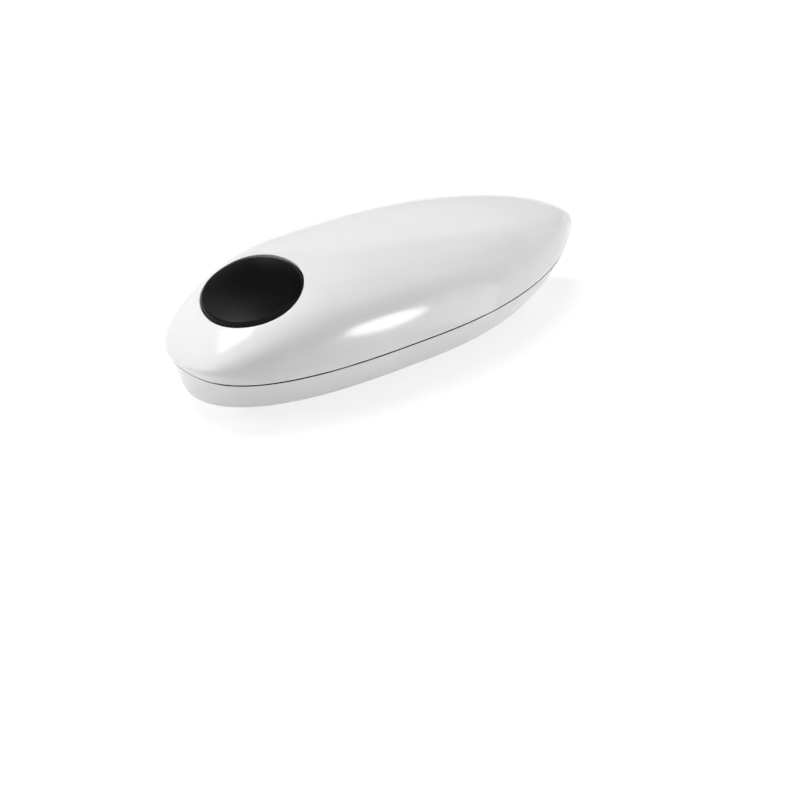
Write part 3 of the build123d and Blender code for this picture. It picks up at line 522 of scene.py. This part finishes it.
def metal(name, colour, dull, scale, relief):
    """Bare metal with cloudy tone, fine scratches and a little relief."""
    made = Finish(name, metallic=1.0)
    tone = made.place.noise(scale)
    scratch_finer, cloud_dull, scratch_dull = 14, 0.08, 0.10
    scratch = made.place.noise(scale * scratch_finer, detail=4.0, roughness=0.7)
    made.feed("Base Color", tone.between(*cloud_middle).blend(darker(colour, share=0.72), colour))
    made.feed("Roughness", dull - cloud_dull + tone * cloud_dull + scratch * scratch_dull)
    made.feed("Normal", scratch.bump(strength=relief, distance=0.00003))
    return made.material


def fit(piece, body, node, material):
    """Dresses a piece and puts it on its body in place of a CAD piece."""
    wear(piece, material)
    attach(piece, body)
    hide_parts(node)


def dress(slot, material):
    """Gives a material to every CAD piece of one slot of the record."""
    for row in frame["record"]["subparts"]:
        if row["material_slot"] == slot:
            for place in frame["nodes"][row["node"]].material_slots:
                place.material = material


bush = turned("hub_bush", drive_spot, [
    (shaft_bore, bush_low), (bush_flange, bush_low), (bush_flange, underside), (bush_outside, underside),
    (bush_outside, bush_high), (shaft_bore, bush_high), (shaft_bore, bush_low)], bored=True)
fit(bush, "housing", "lower_bush",
    turned_metal("bush_bronze", drive_spot, bronze_bright, dull=0.38))
dress("bronze", metal("bronze", bronze_bright, dull=0.40, scale=220.0, relief=0.2))

# Magnet: nickel plated disc glued in a pocket of the belly behind the drive wheel, to lift off what has
# been cut. Its two rims are chamfered.
magnet_face = 0.0046
magnet_outside = 0.00498
magnet_low, magnet_shoulder = 0.0051, 0.0079
magnet = turned("magnet", magnet_spot, [
    (magnet_face, magnet_low), (magnet_outside, underside), (magnet_outside, magnet_shoulder),
    (magnet_face, magnet_top)])
fit(magnet, "housing", "lid_magnet",
    turned_metal("magnet_nickel", magnet_spot, (0.56, 0.56, 0.57, 1), dull=0.24))

# Cutter turntable: black moulded disc that turns in the belly, held by a flange inside the case. The boss
# for the cutter's axle stands off its centre, so that a turn brings the cutter up to the serrated wheel.
cutter_spot = (-0.0797, 0.0)
turntable_face = 0.0119
turntable_low, turntable_edge = 0.0049, 0.0053
turntable_flange = 0.014
turntable_seat, turntable_top = 0.0101, 0.0121
axle_boss_face, axle_boss_radius = 0.0042, 0.0045
axle_boss_low, axle_boss_edge = 0.0043, 0.0046
axle_thread, axle_hole_top = 0.0015, 0.02


def plastic(name, colour, dull, scale, relief):
    """Moulded plastic with a slow change of tone and a fine grain."""
    made = Finish(name, specular_ior_level=0.5)
    tone = made.place.noise(scale)
    grain_finer, cloud_dull, grain_dull = 18, 0.06, 0.04
    grain = made.place.noise(scale * grain_finer, detail=2.0)
    made.feed("Base Color", tone.between(*cloud_middle).blend(darker(colour, share=0.82), colour))
    made.feed("Roughness", dull - grain_dull + tone * cloud_dull + grain * grain_dull)
    made.feed("Normal", grain.bump(strength=relief, distance=0.00003))
    return made.material


carrier = turned("cutter_turntable", carrier_spot, [
    (turntable_face, turntable_low), (carrier_radius, turntable_edge), (carrier_radius, turntable_seat),
    (turntable_flange, turntable_seat), (turntable_flange, turntable_top)], sides=carrier_sides)
axle_boss = turned("axle_boss", cutter_spot, [
    (axle_boss_face, axle_boss_low), (axle_boss_radius, axle_boss_edge), (axle_boss_radius, underside)],
    broken=0)
carve(carrier, axle_boss, "UNION")
carve(carrier, rod("axle_drill", *cutter_spot, axle_thread, below, axle_hole_top), "DIFFERENCE")
smooth(carrier, crisp_edge)
fit(carrier, "carrier", "cutter_carrier",
    plastic("turntable_black", (0.030, 0.030, 0.031, 1), dull=0.40, scale=90.0, relief=0.2))

# Cutter wheel: hardened steel disc ground to an edge from both sides, with flat faces round its bore. It
# turns freely on the axle screw.
cutter_bore, cutter_flat, cutter_radius = 0.00205, 0.0076, 0.0095
cutter_low, cutter_high = 0.0022, 0.0042
blade_low, blade_high = 0.0031, 0.0033
cutter_sides, blade_break = 144, 0.00005
cutter = turned("cutter", cutter_spot, [
    (cutter_bore, cutter_low), (cutter_flat, cutter_low), (cutter_radius, blade_low),
    (cutter_radius, blade_high), (cutter_flat, cutter_high), (cutter_bore, cutter_high),
    (cutter_bore, cutter_low)], bored=True, sides=cutter_sides, broken=blade_break)
fit(cutter, "cutter", "cutter_wheel",
    turned_metal("ground_blade", cutter_spot, (0.70, 0.70, 0.71, 1), dull=0.20))

# Axle screw: zinc plated shoulder screw with a cross recess. Its shoulder is the cutter's axle, and its
# thread holds in the turntable's boss.
zinc = (0.62, 0.62, 0.61, 1)
axle_seat = 0.0021
axle_head, axle_head_height = 0.0034, 0.0015
axle_radius = 0.0020
screw_sides, screw_break = 72, 0.00006
# The pan head's outline, as shares of its radius and of its height.
pan_shares = ((0.62, 0.0), (0.84, 0.10), (0.96, 0.34), (1.0, 0.62))
cross_reach, cross_wide, cross_depth, cross_taper = 1.2, 0.26, 0.36, 0.5


def cross_recess(screw, spot, level, reach):
    """Sinks a cross for the driver, narrower at its bottom, into a screw's head."""
    wide, depth = reach * cross_wide, reach * cross_depth
    for turn in (0, pi / 2):
        slot = fresh("slot", bpy.ops.mesh.primitive_cube_add, size=1, location=(spot[0], spot[1], level),
                     rotation=(0, 0, turn), scale=(reach, wide, 2 * depth))
        edit(slot, "VERT")
        choose("verts", lambda vert: vert.co.z > level)
        bpy.ops.transform.resize(value=(cross_taper, cross_taper, 1),
                                 center_override=(spot[0], spot[1], level + depth))
        close_edit()
        carve(screw, slot, "DIFFERENCE")
    smooth(screw, crisp_edge)


def pan_screw(name, spot, seat, head, head_height, shank):
    """Pan head screw, its head under the seat and its shank rising from it in steps of radius and level."""
    low = seat - head_height
    profile = [(head * wide, low + head_height * tall) for wide, tall in pan_shares] + [(head, seat)]
    screw = turned(name, spot, profile + shank, sides=screw_sides, broken=screw_break)
    cross_recess(screw, spot, low, head * cross_reach)
    return screw


axle_screw = pan_screw("axle_screw", cutter_spot, axle_seat, axle_head, axle_head_height, [
    (axle_radius, axle_seat), (axle_radius, axle_boss_low), (axle_thread, axle_boss_low),
    (axle_thread, turntable_seat)])
fit(axle_screw, "carrier", "cutter_axle_screw",
    turned_metal("axle_screw_steel", cutter_spot, zinc, dull=0.32))

# Gearbox frame: base, bridge and top plate blanked from sheet steel, held apart by turned posts and screwed
# together, with ground axles riveted in and the drive shaft standing through. They keep the CAD shapes.
dress("plate_steel", metal("plate_steel", (0.58, 0.58, 0.58, 1), dull=0.42, scale=60.0, relief=0.15))
dress("axle_steel", metal("axle_steel", (0.66, 0.66, 0.67, 1), dull=0.24, scale=160.0, relief=0.08))
dress("screw_steel", metal("screw_steel", zinc, dull=0.34, scale=160.0, relief=0.1))

# Gears: three compound wheels moulded in natural nylon and a sintered steel drive gear on the shaft. A
# rubber ring on the shaft rubs on the turntable and carries it round until the cutter has closed.
dress("gear_nylon", plastic("gear_nylon", (0.76, 0.73, 0.64, 1), dull=0.42, scale=60.0, relief=0.1))
dress("gear_steel", metal("gear_steel", (0.45, 0.45, 0.45, 1), dull=0.45, scale=120.0, relief=0.2))
dress("ring_rubber", plastic("ring_rubber", (0.020, 0.020, 0.020, 1), dull=0.75, scale=150.0, relief=0.3))

# Serrated wheel: hardened steel drive wheel on the end of the shaft, which grips the work and draws it
# past the cutter. Its teeth are pressed in all round, and both faces are chamfered.
wheel_teeth = 28
tooth_steps = 6
tooth_shares = (0.0, 0.0, 0.95, 1.0, 1.0, 0.95)
wheel_tip, wheel_root = 0.007, 0.0063
wheel_face, wheel_back = 0.0065, 0.0067
wheel_low, wheel_high = 0.0009, 0.0047
rim_low, rim_high = 0.0014, 0.0043
wheel = turned("serrated_wheel", drive_spot, [
    (shaft_bore, wheel_low), (wheel_face, wheel_low), (wheel_tip, rim_low), (wheel_tip, rim_high),
    (wheel_back, wheel_high), (shaft_bore, wheel_high), (shaft_bore, wheel_low)],
    bored=True, sides=wheel_teeth * tooth_steps, broken=0)
for vert in wheel.data.vertices:
    off = Vector((vert.co.x - drive_spot[0], vert.co.y - drive_spot[1]))
    step = round(atan2(off.y, off.x) / (2 * pi) * wheel_teeth * tooth_steps) % tooth_steps
    limit = wheel_root + (wheel_tip - wheel_root) * tooth_shares[step]
    if off.length > limit:
        off *= limit / off.length
        vert.co.x = drive_spot[0] + off.x
        vert.co.y = drive_spot[1] + off.y
smooth(wheel, turned_sharp)
fit(wheel, "drive", "drive_wheel",
    turned_metal("hard_wheel", drive_spot, (0.54, 0.54, 0.55, 1), dull=0.34))

# Hub screw: zinc plated pan head screw in the end of the drive shaft, which holds the serrated wheel on.
# The opener stands on its head and on the two feet.
hub_head, hub_head_height = 0.0040, 0.0009
hub_thread, hub_top = 0.0012, 0.0074
hub_screw = pan_screw("hub_screw", drive_spot, wheel_low, hub_head, hub_head_height, [
    (hub_thread, wheel_low), (hub_thread, hub_top)])
fit(hub_screw, "drive", "drive_screw",
    turned_metal("hub_screw_steel", drive_spot, zinc, dull=0.32))

# Motor: small direct current motor in a zinc plated drawn cup, with two field magnets, a lacquered
# laminated armature and a black moulded end bell, which the push switch's body matches. They keep the
# CAD shapes.
dress("motor_steel", metal("motor_steel", (0.62, 0.62, 0.60, 1), dull=0.30, scale=70.0, relief=0.1))
dress("magnet_grey", metal("magnet_grey", (0.50, 0.50, 0.51, 1), dull=0.30, scale=180.0, relief=0.08))
dress("core_steel", metal("core_steel", (0.40, 0.36, 0.33, 1), dull=0.45, scale=120.0, relief=0.2))
dress("switch_black", plastic("switch_black", (0.025, 0.025, 0.026, 1), dull=0.50, scale=90.0, relief=0.2))

# Cells and contacts: four cells in plain dark jackets lie in the bay between nickel plated spring
# contacts, which are pushed into the bay's end walls. They keep the CAD shapes.
dress("cell_jacket", metal("cell_jacket", (0.10, 0.10, 0.11, 1), dull=0.30, scale=60.0, relief=0.05))
dress("contact_nickel", metal("contact_nickel", (0.70, 0.68, 0.63, 1), dull=0.28, scale=150.0, relief=0.08))

# Battery hatch: white moulded lid let into the belly, with rounded edges and a row of grip grooves at its
# free end. It turns on two pins moulded at the tail end.
hatch_half = 0.0147
hatch_first, hatch_thick = 0.0086, 0.002
hatch_low, hatch_high = pin_level - hatch_thick / 2, pin_level + hatch_thick / 2
hatch_break, pin_break = 0.00025, 0.0002
hinge_round = hatch_thick * 0.49
groove_count, groove_pitch, groove_wide, groove_depth = 4, 0.0022, 0.001, 0.0006
groove_start, groove_half = 0.002, 0.008
groove_round = groove_depth * 0.7


def soften(width, segments):
    """Bevels the selected edges of the piece in edit mode."""
    bpy.ops.mesh.bevel(offset=width, segments=segments, affect="EDGES")


def hinge_edge(edge):
    """Whether an edge of the plate runs across its hinge end."""
    one, two = edge.verts
    return one.co.x > pin_spot and two.co.x > pin_spot and abs(one.co.z - two.co.z) < same


def pin_end_edge(edge):
    """Whether an edge runs round the end of a pin."""
    one, two = edge.verts
    return abs(abs(one.co.y) - hatch_half - pin_reach) < same and abs(one.co.y - two.co.y) < same


hatch = bar("hatch", (hatch_first, -hatch_half, hatch_low),
            (pin_spot + hatch_thick / 2, hatch_half, hatch_high))
edit(hatch, "EDGE")
choose("edges", hinge_edge)
soften(hinge_round, segments=6)
close_edit()
for number in range(groove_count):
    spot = hatch_first + groove_start + number * groove_pitch
    groove = bar("groove", (spot, -groove_half, 0),
                 (spot + groove_wide, groove_half, hatch_low + groove_depth))
    edit(groove, "EDGE")
    choose("edges", lambda edge: all(vert.co.z > hatch_low for vert in edge.verts))
    soften(groove_round, segments=4)
    close_edit()
    carve(hatch, groove, "DIFFERENCE")
break_edges(hatch, hatch_break, sharp_edge)
pins = cross_rod("hinge_pins", pin_spot, pin_level, pin_radius, hatch_half + pin_reach)
edit(pins, "EDGE")
choose("edges", pin_end_edge)
soften(pin_break, segments=2)
close_edit()
carve(hatch, pins, "UNION")
smooth(hatch, crisp_edge)
wear(hatch, shell_white.material)
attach(hatch, "hatch")
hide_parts("battery_cover")

# Upper cover: one deep white moulding over everything, from the parting line to the crown, with the round
# well of the push button sunk square to its surface near the nose. It drops onto the lower case and is
# screwed from below.
press_joint = [joint for joint in frame["joints"] if joint["name"] == "button_press"][0]
button_axis = -Vector(press_joint["axis"]).normalized()
button_along = Vector((0, 1, 0)).cross(button_axis)
button_station = 0.034
button_long = 0.0203
button_wide = 0.0217
button_gap = 0.0004
button_sides = 112
flange_reach = 0.0012
collar = 0.0026
collar_spare = 0.0006
shelf_bottom = -0.0044
well_bottom = -0.014
well_wall = 0.002
well_inside = button_gap + flange_reach
well_outside = well_inside + well_wall
cover_seam = seam_level + seam_gap
search_low, search_high, halvings = -0.016, 0.012, 40
mouth_break, seam_break = 0.0005, 0.0003
cover_crisp = 40
skin_near, oval_near, mouth_near = 1e-4, 2e-4, 2e-5
well_zone, seam_sharp = 1.5, 0.6
button_centre = Vector((button_station - shell_length / 2, 0,
                        equator + crown_rise * swell(button_station / shell_length, roof_curve)))
button_frame = Matrix((
    (button_along.x, 0, button_axis.x, button_centre.x),
    (button_along.y, 1, button_axis.y, button_centre.y),
    (button_along.z, 0, button_axis.z, button_centre.z),
    (0, 0, 0, 1)))
to_button = button_frame.inverted()


def under_roof(point, inset):
    """Whether a point lies inside the upper half of the shell or of its lining."""
    first, last = shell_ends(inset)
    share = (point.x - first) / (last - first)
    if not 0 < share < 1:
        return False
    across = abs(point.y) / ((shell_width / 2 - inset) * plan_share(share))
    rise = max(0.0, point.z - equator) / ((crown_rise - inset) * swell(share, roof_curve))
    return across ** upper_across + rise ** upper_rise < 1


def roof_height(along, across, inset=0.0):
    """Height of the shell over a point of the button's plane, along the button's axis."""
    low, high = search_low, search_high
    for _ in range(halvings):
        middle = (low + high) / 2
        if under_roof(button_frame @ Vector((along, across, middle)), inset):
            low = middle
        else:
            high = middle
    return low


def oval_turn(point):
    """Angle round the button's oval of a point in the button's frame."""
    return atan2(point.y / button_wide, point.x / button_long)


def oval_share(point, extra):
    """Distance from the button's axis, 1 on the oval that is larger by extra."""
    return hypot(point.x / (button_long + extra), point.y / (button_wide + extra))


def rim_point(turn, extra, inset=0.0):
    """Point of the shell or its lining on an oval larger than the button by extra."""
    along = (button_long + extra) * cos(turn)
    across = (button_wide + extra) * sin(turn)
    return button_frame @ Vector((along, across, roof_height(along, across, inset)))


def skirt_point(turn, extra, height):
    """Point at a height over the button's plane on an oval larger than the button by extra."""
    along = (button_long + extra) * cos(turn)
    across = (button_wide + extra) * sin(turn)
    return button_frame @ Vector((along, across, height))


def next_ring(place):
    """Extrudes the selected ring of the piece in edit mode and puts it where place says."""
    bpy.ops.mesh.extrude_region_move()
    mesh = bmesh.from_edit_mesh(bpy.context.active_object.data)
    for vert in mesh.verts:
        if vert.select:
            vert.co = place(oval_turn(to_button @ vert.co))
    bmesh.update_edit_mesh(bpy.context.active_object.data)


def drop_oval(extra):
    """Deletes the faces of the skin in edit mode that reach into an oval larger than the button."""
    choose("faces", lambda face: face.calc_center_median().z > equator
           and min(oval_share(to_button @ vert.co, extra) for vert in face.verts) < 1)
    bpy.ops.mesh.delete(type="FACE")


def on_skin(vert, inset):
    """Whether a vert lies on the shell, or on its lining."""
    spot = to_button @ vert.co
    return abs(spot.z - roof_height(spot.x, spot.y, inset)) < skin_near


def near_well(edge):
    """Whether an edge is an open one round the well."""
    middle = to_button @ ((edge.verts[0].co + edge.verts[1].co) / 2)
    return edge.is_boundary and middle.z > search_low and oval_share(middle, well_outside + collar) < well_zone


def mouth_edge(edge):
    """Whether an edge is the sharp mouth of the well."""
    for vert in edge.verts:
        spot = to_button @ vert.co
        if abs(oval_share(spot, button_gap) - 1) > oval_near:
            return False
        if abs(spot.z - roof_height(spot.x, spot.y)) > mouth_near:
            return False
    return True


def seam_edge(edge):
    """Whether an edge is a sharp edge of the cover at the parting line."""
    level = all(abs(vert.co.z - cover_seam) < same for vert in edge.verts)
    return level and len(edge.link_faces) == 2 and edge.calc_face_angle(0) > seam_sharp


cover = shell_form("upper_cover")
lining = shell_form("cover_lining", shell_wall)
for skin, hole in ((cover, button_gap + collar), (lining, well_outside + collar)):
    edit(skin, "FACE")
    slice_level(cover_seam, 1)
    drop_oval(hole + collar_spare)
    close_edit()
well = fresh("button_well", bpy.ops.mesh.primitive_circle_add, vertices=button_sides, radius=1)
for vert in well.data.vertices:
    vert.co = rim_point(atan2(vert.co.y, vert.co.x), button_gap + collar)
edit(well, "EDGE")
next_ring(lambda turn: rim_point(turn, button_gap + collar / 2))
next_ring(lambda turn: rim_point(turn, button_gap))
next_ring(lambda turn: skirt_point(turn, button_gap, shelf_bottom))
next_ring(lambda turn: skirt_point(turn, well_inside, shelf_bottom))
next_ring(lambda turn: skirt_point(turn, well_inside, well_bottom))
next_ring(lambda turn: skirt_point(turn, well_outside, well_bottom))
next_ring(lambda turn: rim_point(turn, well_outside, shell_wall))
next_ring(lambda turn: rim_point(turn, well_outside + collar, shell_wall))
close_edit()
join(cover, lining, well)
edit(cover, "EDGE")
for inset in (0.0, shell_wall):
    choose("edges", lambda edge: near_well(edge) and on_skin(edge.verts[0], inset))
    bpy.ops.mesh.fill(use_beauty=True)
choose("edges", lambda edge: edge.is_boundary)
bpy.ops.mesh.fill(use_beauty=True)
face_outward()
choose("edges", mouth_edge)
soften(mouth_break, segments=4)
choose("edges", seam_edge)
soften(seam_break, segments=3)
close_edit()
smooth(cover, cover_crisp)
wear(cover, shell_white.material)
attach(cover, "housing")
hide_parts("top_cover")

# Push button: thick domed cap moulded in black, its outside finely spark eroded so that it looks satin. A
# flange under it keeps it in the well, and a stem in the middle works the switch.
dome_radius = 0.080
dome_shift = -0.0055
dome_top = 0.0010
dome_flat = 0.8
dome_steps, inner_steps = 14, 6
cap_foot = -0.0062
flange_top = -0.0046
cap_skin = 0.0022
shoulder_low = flange_top + 0.0005
shoulder_break = 0.0014
foot_near, shoulder_near = 1e-5, 1e-4
stem_radius = 0.0032
stem_low, stem_high = cap_foot, dome_top - cap_skin / 2
button_crisp = 50
black_low, black_high = grey(0.0034), grey(0.0046)
satin, rubbed_dull, grain_dull = 0.26, 0.06, 0.04


def dome_point(turn, share, sink):
    """Point of the cap's dome, or of a dome sunk below it, at a share of the way to its edge."""
    along = button_long * share * cos(turn)
    across = button_wide * share * sin(turn)
    radius = dome_radius - sink
    rise = sqrt(radius ** 2 - (along - dome_shift) ** 2 - dome_flat * across ** 2)
    return button_frame @ Vector((along, across, dome_top - dome_radius + rise))


def close_dome(edge_share, sink, steps):
    """Draws the selected ring of the cap over a dome and closes it in the middle."""
    for step in range(steps):
        next_ring(lambda turn: dome_point(turn, edge_share * (1 - step / steps), sink))
    bpy.ops.mesh.extrude_region_move()
    bpy.ops.mesh.merge(type="CENTER")


def foot_edge(edge):
    """Whether an edge is the open foot of the cap."""
    return edge.is_boundary and (to_button @ edge.verts[0].co).z < cap_foot + foot_near


def shoulder_edge(edge):
    """Whether an edge runs round the shoulder between the dome and the side."""
    for vert in edge.verts:
        spot = to_button @ vert.co
        if abs(oval_share(spot, 0) - 1) > shoulder_near or spot.z < shoulder_low:
            return False
    return True


button = fresh("push_button", bpy.ops.mesh.primitive_circle_add, vertices=button_sides, radius=1)
for vert in button.data.vertices:
    vert.co = skirt_point(atan2(vert.co.y, vert.co.x), flange_reach, cap_foot)
edit(button, "EDGE")
next_ring(lambda turn: skirt_point(turn, flange_reach, flange_top))
next_ring(lambda turn: skirt_point(turn, 0, flange_top))
close_dome(1, 0, dome_steps)
choose("edges", foot_edge)
next_ring(lambda turn: skirt_point(turn, -cap_skin, cap_foot))
close_dome(1 - cap_skin / button_long, cap_skin, inner_steps)
face_outward()
choose("edges", shoulder_edge)
soften(shoulder_break, segments=9)
close_edit()
stem = fresh("button_stem", bpy.ops.mesh.primitive_cylinder_add, vertices=48, radius=stem_radius,
             depth=stem_high - stem_low)
for vert in stem.data.vertices:
    vert.co = button_frame @ (vert.co + Vector((0, 0, (stem_high + stem_low) / 2)))
join(button, stem)
smooth(button, button_crisp)
button_black = Finish("button_black", specular_ior_level=0.12, ior=1.5)
grain = button_black.place.noise(scale=2600.0, detail=2.0)
rubbed = button_black.place.noise(scale=70.0)
button_black.feed("Base Color", rubbed.between(*cloud_middle).blend(black_low, black_high))
button_black.feed("Roughness", satin + rubbed * rubbed_dull + grain * grain_dull)
button_black.feed("Normal", grain.bump(strength=0.25, distance=0.00004))
wear(button, button_black.material)
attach(button, "button")
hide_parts("power_button")

# Switch: sealed push switch with a red sprung plunger on a green lacquered board, screwed across the
# mouth of the well under the button's stem. They keep the CAD shapes, and the switch's black body is
# dressed with the motor.
dress("switch_red", plastic("switch_red", (0.50, 0.030, 0.022, 1), dull=0.40, scale=120.0, relief=0.1))
dress("board_green", plastic("board_green", (0.020, 0.16, 0.060, 1), dull=0.35, scale=60.0, relief=0.1))

# Case screws: five zinc plated self tapping screws with cross recesses, sunk in the belly. They draw the
# two halves of the shell together. One is modelled, and the others are copies of it.
case_head, case_head_height = 0.0027, 0.0018
case_thread, case_point = 0.0014, 0.0007
thread_top, point_top = screw_seat + 0.0165, screw_seat + 0.018
first_screw = pan_screw("belly_screws", screw_spots[0], screw_seat, case_head, case_head_height, [
    (case_thread, screw_seat), (case_thread, thread_top), (case_point, point_top)])
more_screws = []
for spot in screw_spots[1:]:
    screw = first_screw.copy()
    screw.data = first_screw.data.copy()
    bpy.context.scene.collection.objects.link(screw)
    screw.data.transform(Matrix.Translation((spot[0] - screw_spots[0][0], spot[1] - screw_spots[0][1], 0)))
    more_screws.append(screw)
join(first_screw, *more_screws)
fit(first_screw, "housing", "case_screws",
    metal("case_screw_zinc", zinc, dull=0.34, scale=160.0, relief=0.1))

# Floor: pale paper sweep that the opener stands on. The camera and the gloss see it lit up to white,
# whiter far away, and it keeps the opener's shadow.
floor_size = 12
glow_near, glow_far = 0.4, 2.2


def seen_straight(tree):
    """1 where the camera, a reflection or a glass looks at a surface, and 0 where light falls from it."""
    path = tree.nodes.new("ShaderNodeLightPath")
    seen = Wire(tree, path.outputs["Is Camera Ray"])
    for way in ("Is Glossy Ray", "Is Transmission Ray"):
        seen = seen.math("MAXIMUM", seen, Wire(tree, path.outputs[way]))
    return seen


floor = fresh("floor", bpy.ops.mesh.primitive_plane_add, size=floor_size)
paper = bpy.data.materials.new("paper")
paper.use_nodes = True
paper.node_tree.nodes.clear()
seen = seen_straight(paper.node_tree)
spread = Wire(paper.node_tree, paper.node_tree.nodes.new("ShaderNodeTexCoord").outputs["Object"])
fibre = spread.noise(scale=30.0)
distance = spread.node("ShaderNodeVectorMath", {"operation": "LENGTH"}, {0: spread}, output="Value")
far = distance.between(glow_near, glow_far)
matte = seen.node("ShaderNodeBsdfDiffuse", None, {"Color": fibre.blend(grey(0.82), grey(0.86))})
shade = seen.node("ShaderNodeBsdfDiffuse", None, {"Color": fibre.blend(grey(0.30), grey(0.31))})
glow = seen.node("ShaderNodeEmission", None, {"Color": far.blend(grey(0.80), grey(1.0)), "Strength": 1.0})
lit = seen.node("ShaderNodeAddShader", None, {0: shade, 1: glow})
shown = seen.node("ShaderNodeMixShader", None, {0: seen, 1: matte, 2: lit})
seen.node("ShaderNodeOutputMaterial", None, {"Surface": shown})
wear(floor, paper)

# Surround: white where the camera or the gloss looks past the floor, and dim where it lights the opener,
# so that the lamps model the form.
room = bpy.data.worlds.new("room")
bpy.context.scene.world = room
room.use_nodes = True
room.node_tree.nodes.clear()
seen = seen_straight(room.node_tree)
dim = seen.node("ShaderNodeBackground", None, {"Color": grey(1.0), "Strength": 0.06})
white = seen.node("ShaderNodeBackground", None, {"Color": grey(1.0), "Strength": 1.0})
both = seen.node("ShaderNodeMixShader", None, {0: seen, 1: dim, 2: white})
seen.node("ShaderNodeOutputWorld", None, {"Surface": both})

# Lamps: soft boxes all round, most of them screened so that they only model the form, one over the left
# shoulder that shows in the gloss, and two small cards close by that make the bright leaf on the near
# side.
lamp_distance = 1.3
lamp_aim = Vector((0, 0, 0.03))
box_size, shoulder_size = 0.55, 0.42
card_spot = Vector((-0.030, -0.037, 0.0352))
card_reach = 0.07


def lamp_way(side, height):
    """Direction at an angle from the front and a height, both in degrees."""
    turn, rise = radians(side), radians(height)
    return Vector((sin(turn) * cos(rise), -cos(turn) * cos(rise), sin(rise)))


def soft_box(name, side, height, power, size=box_size, gloss=False):
    """Square lamp round the opener, at an angle from the front and a height in degrees."""
    lamp = bpy.data.lights.new(name, "AREA")
    lamp.shape = "SQUARE"
    lamp.size = size
    lamp.energy = power
    holder = bpy.data.objects.new(name, lamp)
    bpy.context.scene.collection.objects.link(holder)
    way = lamp_way(side, height)
    holder.location = lamp_aim + way * lamp_distance
    holder.rotation_euler = (-way).to_track_quat("-Z", "Y").to_euler()
    holder.visible_glossy = gloss
    holder.visible_camera = False
    return holder


def near_card(name, side, height, power, long, wide):
    """Small oval lamp close to the near side, which only the gloss shows."""
    holder = soft_box(name, side, height, power, size=long, gloss=True)
    holder.data.shape = "ELLIPSE"
    holder.data.size_y = wide
    holder.location = card_spot + lamp_way(side, height) * card_reach
    holder.visible_diffuse = False


soft_box("top_box", side=176, height=78, power=9.2)
soft_box("crown_box", side=-150, height=66, power=1.8)
soft_box("left_box", side=-112, height=25, power=5.6)
soft_box("front_box", side=10, height=8, power=2.6)
soft_box("right_box", side=50, height=8, power=5.6)
soft_box("rear_box", side=156, height=10, power=1.2)
soft_box("shoulder_box", side=-140, height=54, power=3.7, size=shoulder_size, gloss=True)
near_card("leaf_card", side=29, height=-13, power=0.028, long=0.050, wide=0.027)
near_card("halo_card", side=42, height=-18, power=0.017, long=0.110, wide=0.060)

# Flags: a large black cloth panel behind the tail and a small one beside the button, which only the gloss
# sees. They keep the button and the tail deep.
flag_reach = 1.0
flag_corners = ((186, 19), (72, 18), (196, 70), (70, 78))
near_spot = Vector((-0.050, 0.066, 0.081))
near_long, near_tall = 0.046, 0.036


def gloss_only(panel):
    """Stands a panel in the studio so that only reflections show it."""
    panel.visible_camera = False
    panel.visible_diffuse = False
    panel.visible_transmission = False
    panel.visible_shadow = False


flag = fresh("flag", bpy.ops.mesh.primitive_plane_add, size=1)
for vert, corner in zip(flag.data.vertices, flag_corners):
    vert.co = lamp_aim + lamp_way(*corner) * flag_reach
near_flag = fresh("near_flag", bpy.ops.mesh.primitive_plane_add, size=1)
for vert in near_flag.data.vertices:
    vert.co = near_spot + Vector((vert.co.x * near_long, 0, vert.co.y * near_tall))
cloth = Finish("cloth", roughness=0.9, specular_ior_level=0.0)
cloth.feed("Base Color", cloth.place.noise(scale=90.0).blend(grey(0.010), grey(0.016)))
for panel in (flag, near_flag):
    wear(panel, cloth.material)
    gloss_only(panel)

# Grey card: bent strip of lit board low behind the opener, which only the gloss sees, so that the far
# outline stands off the white surround.
strip_first, strip_last = 92, 268
strip_low, strip_high = -2, 28
strip_reach = 1.2
strip = fresh("grey_card", bpy.ops.mesh.primitive_grid_add, x_subdivisions=16, y_subdivisions=2, size=1)
for vert in strip.data.vertices:
    side = strip_first + (strip_last - strip_first) * (vert.co.x + 0.5)
    height = strip_low + (strip_high - strip_low) * (vert.co.y + 0.5)
    vert.co = lamp_aim + lamp_way(side, height) * strip_reach
board = Finish("board", base_color=grey(0.0), roughness=0.9, specular_ior_level=0.0, emission_strength=1.0)
board.feed("Emission Color", board.place.noise(scale=40.0).blend(grey(0.55), grey(0.58)))
wear(strip, board.material)
gloss_only(strip)

# Camera: a long lens at the photograph's side, height and distance, turned slightly on its axis and aimed
# a little under the opener.
view_side = radians(-39.78)
view_height = radians(29.91)
view_roll = radians(1.23)
view_distance = 1.1
aim_right, aim_up = 0.00734, -0.04493
lens_length = 120.96
back = Vector((sin(view_side) * cos(view_height), -cos(view_side) * cos(view_height), sin(view_height)))
right = Vector((cos(view_side), sin(view_side), 0))
up = back.cross(right)
stand = Vector((0, 0, equator)) + right * aim_right + up * aim_up + back * view_distance
rolled_right = right * cos(view_roll) + up * sin(view_roll)
rolled_up = up * cos(view_roll) - right * sin(view_roll)
lens = bpy.data.cameras.new("camera")
lens.lens = lens_length
camera = bpy.data.objects.new("camera", lens)
bpy.context.scene.collection.objects.link(camera)
camera.matrix_world = Matrix((
    (rolled_right.x, rolled_up.x, back.x, stand.x),
    (rolled_right.y, rolled_up.y, back.y, stand.y),
    (rolled_right.z, rolled_up.z, back.z, stand.z),
    (0, 0, 0, 1)))
bpy.context.scene.camera = camera
bpy.context.scene.view_settings.view_transform = "Standard"
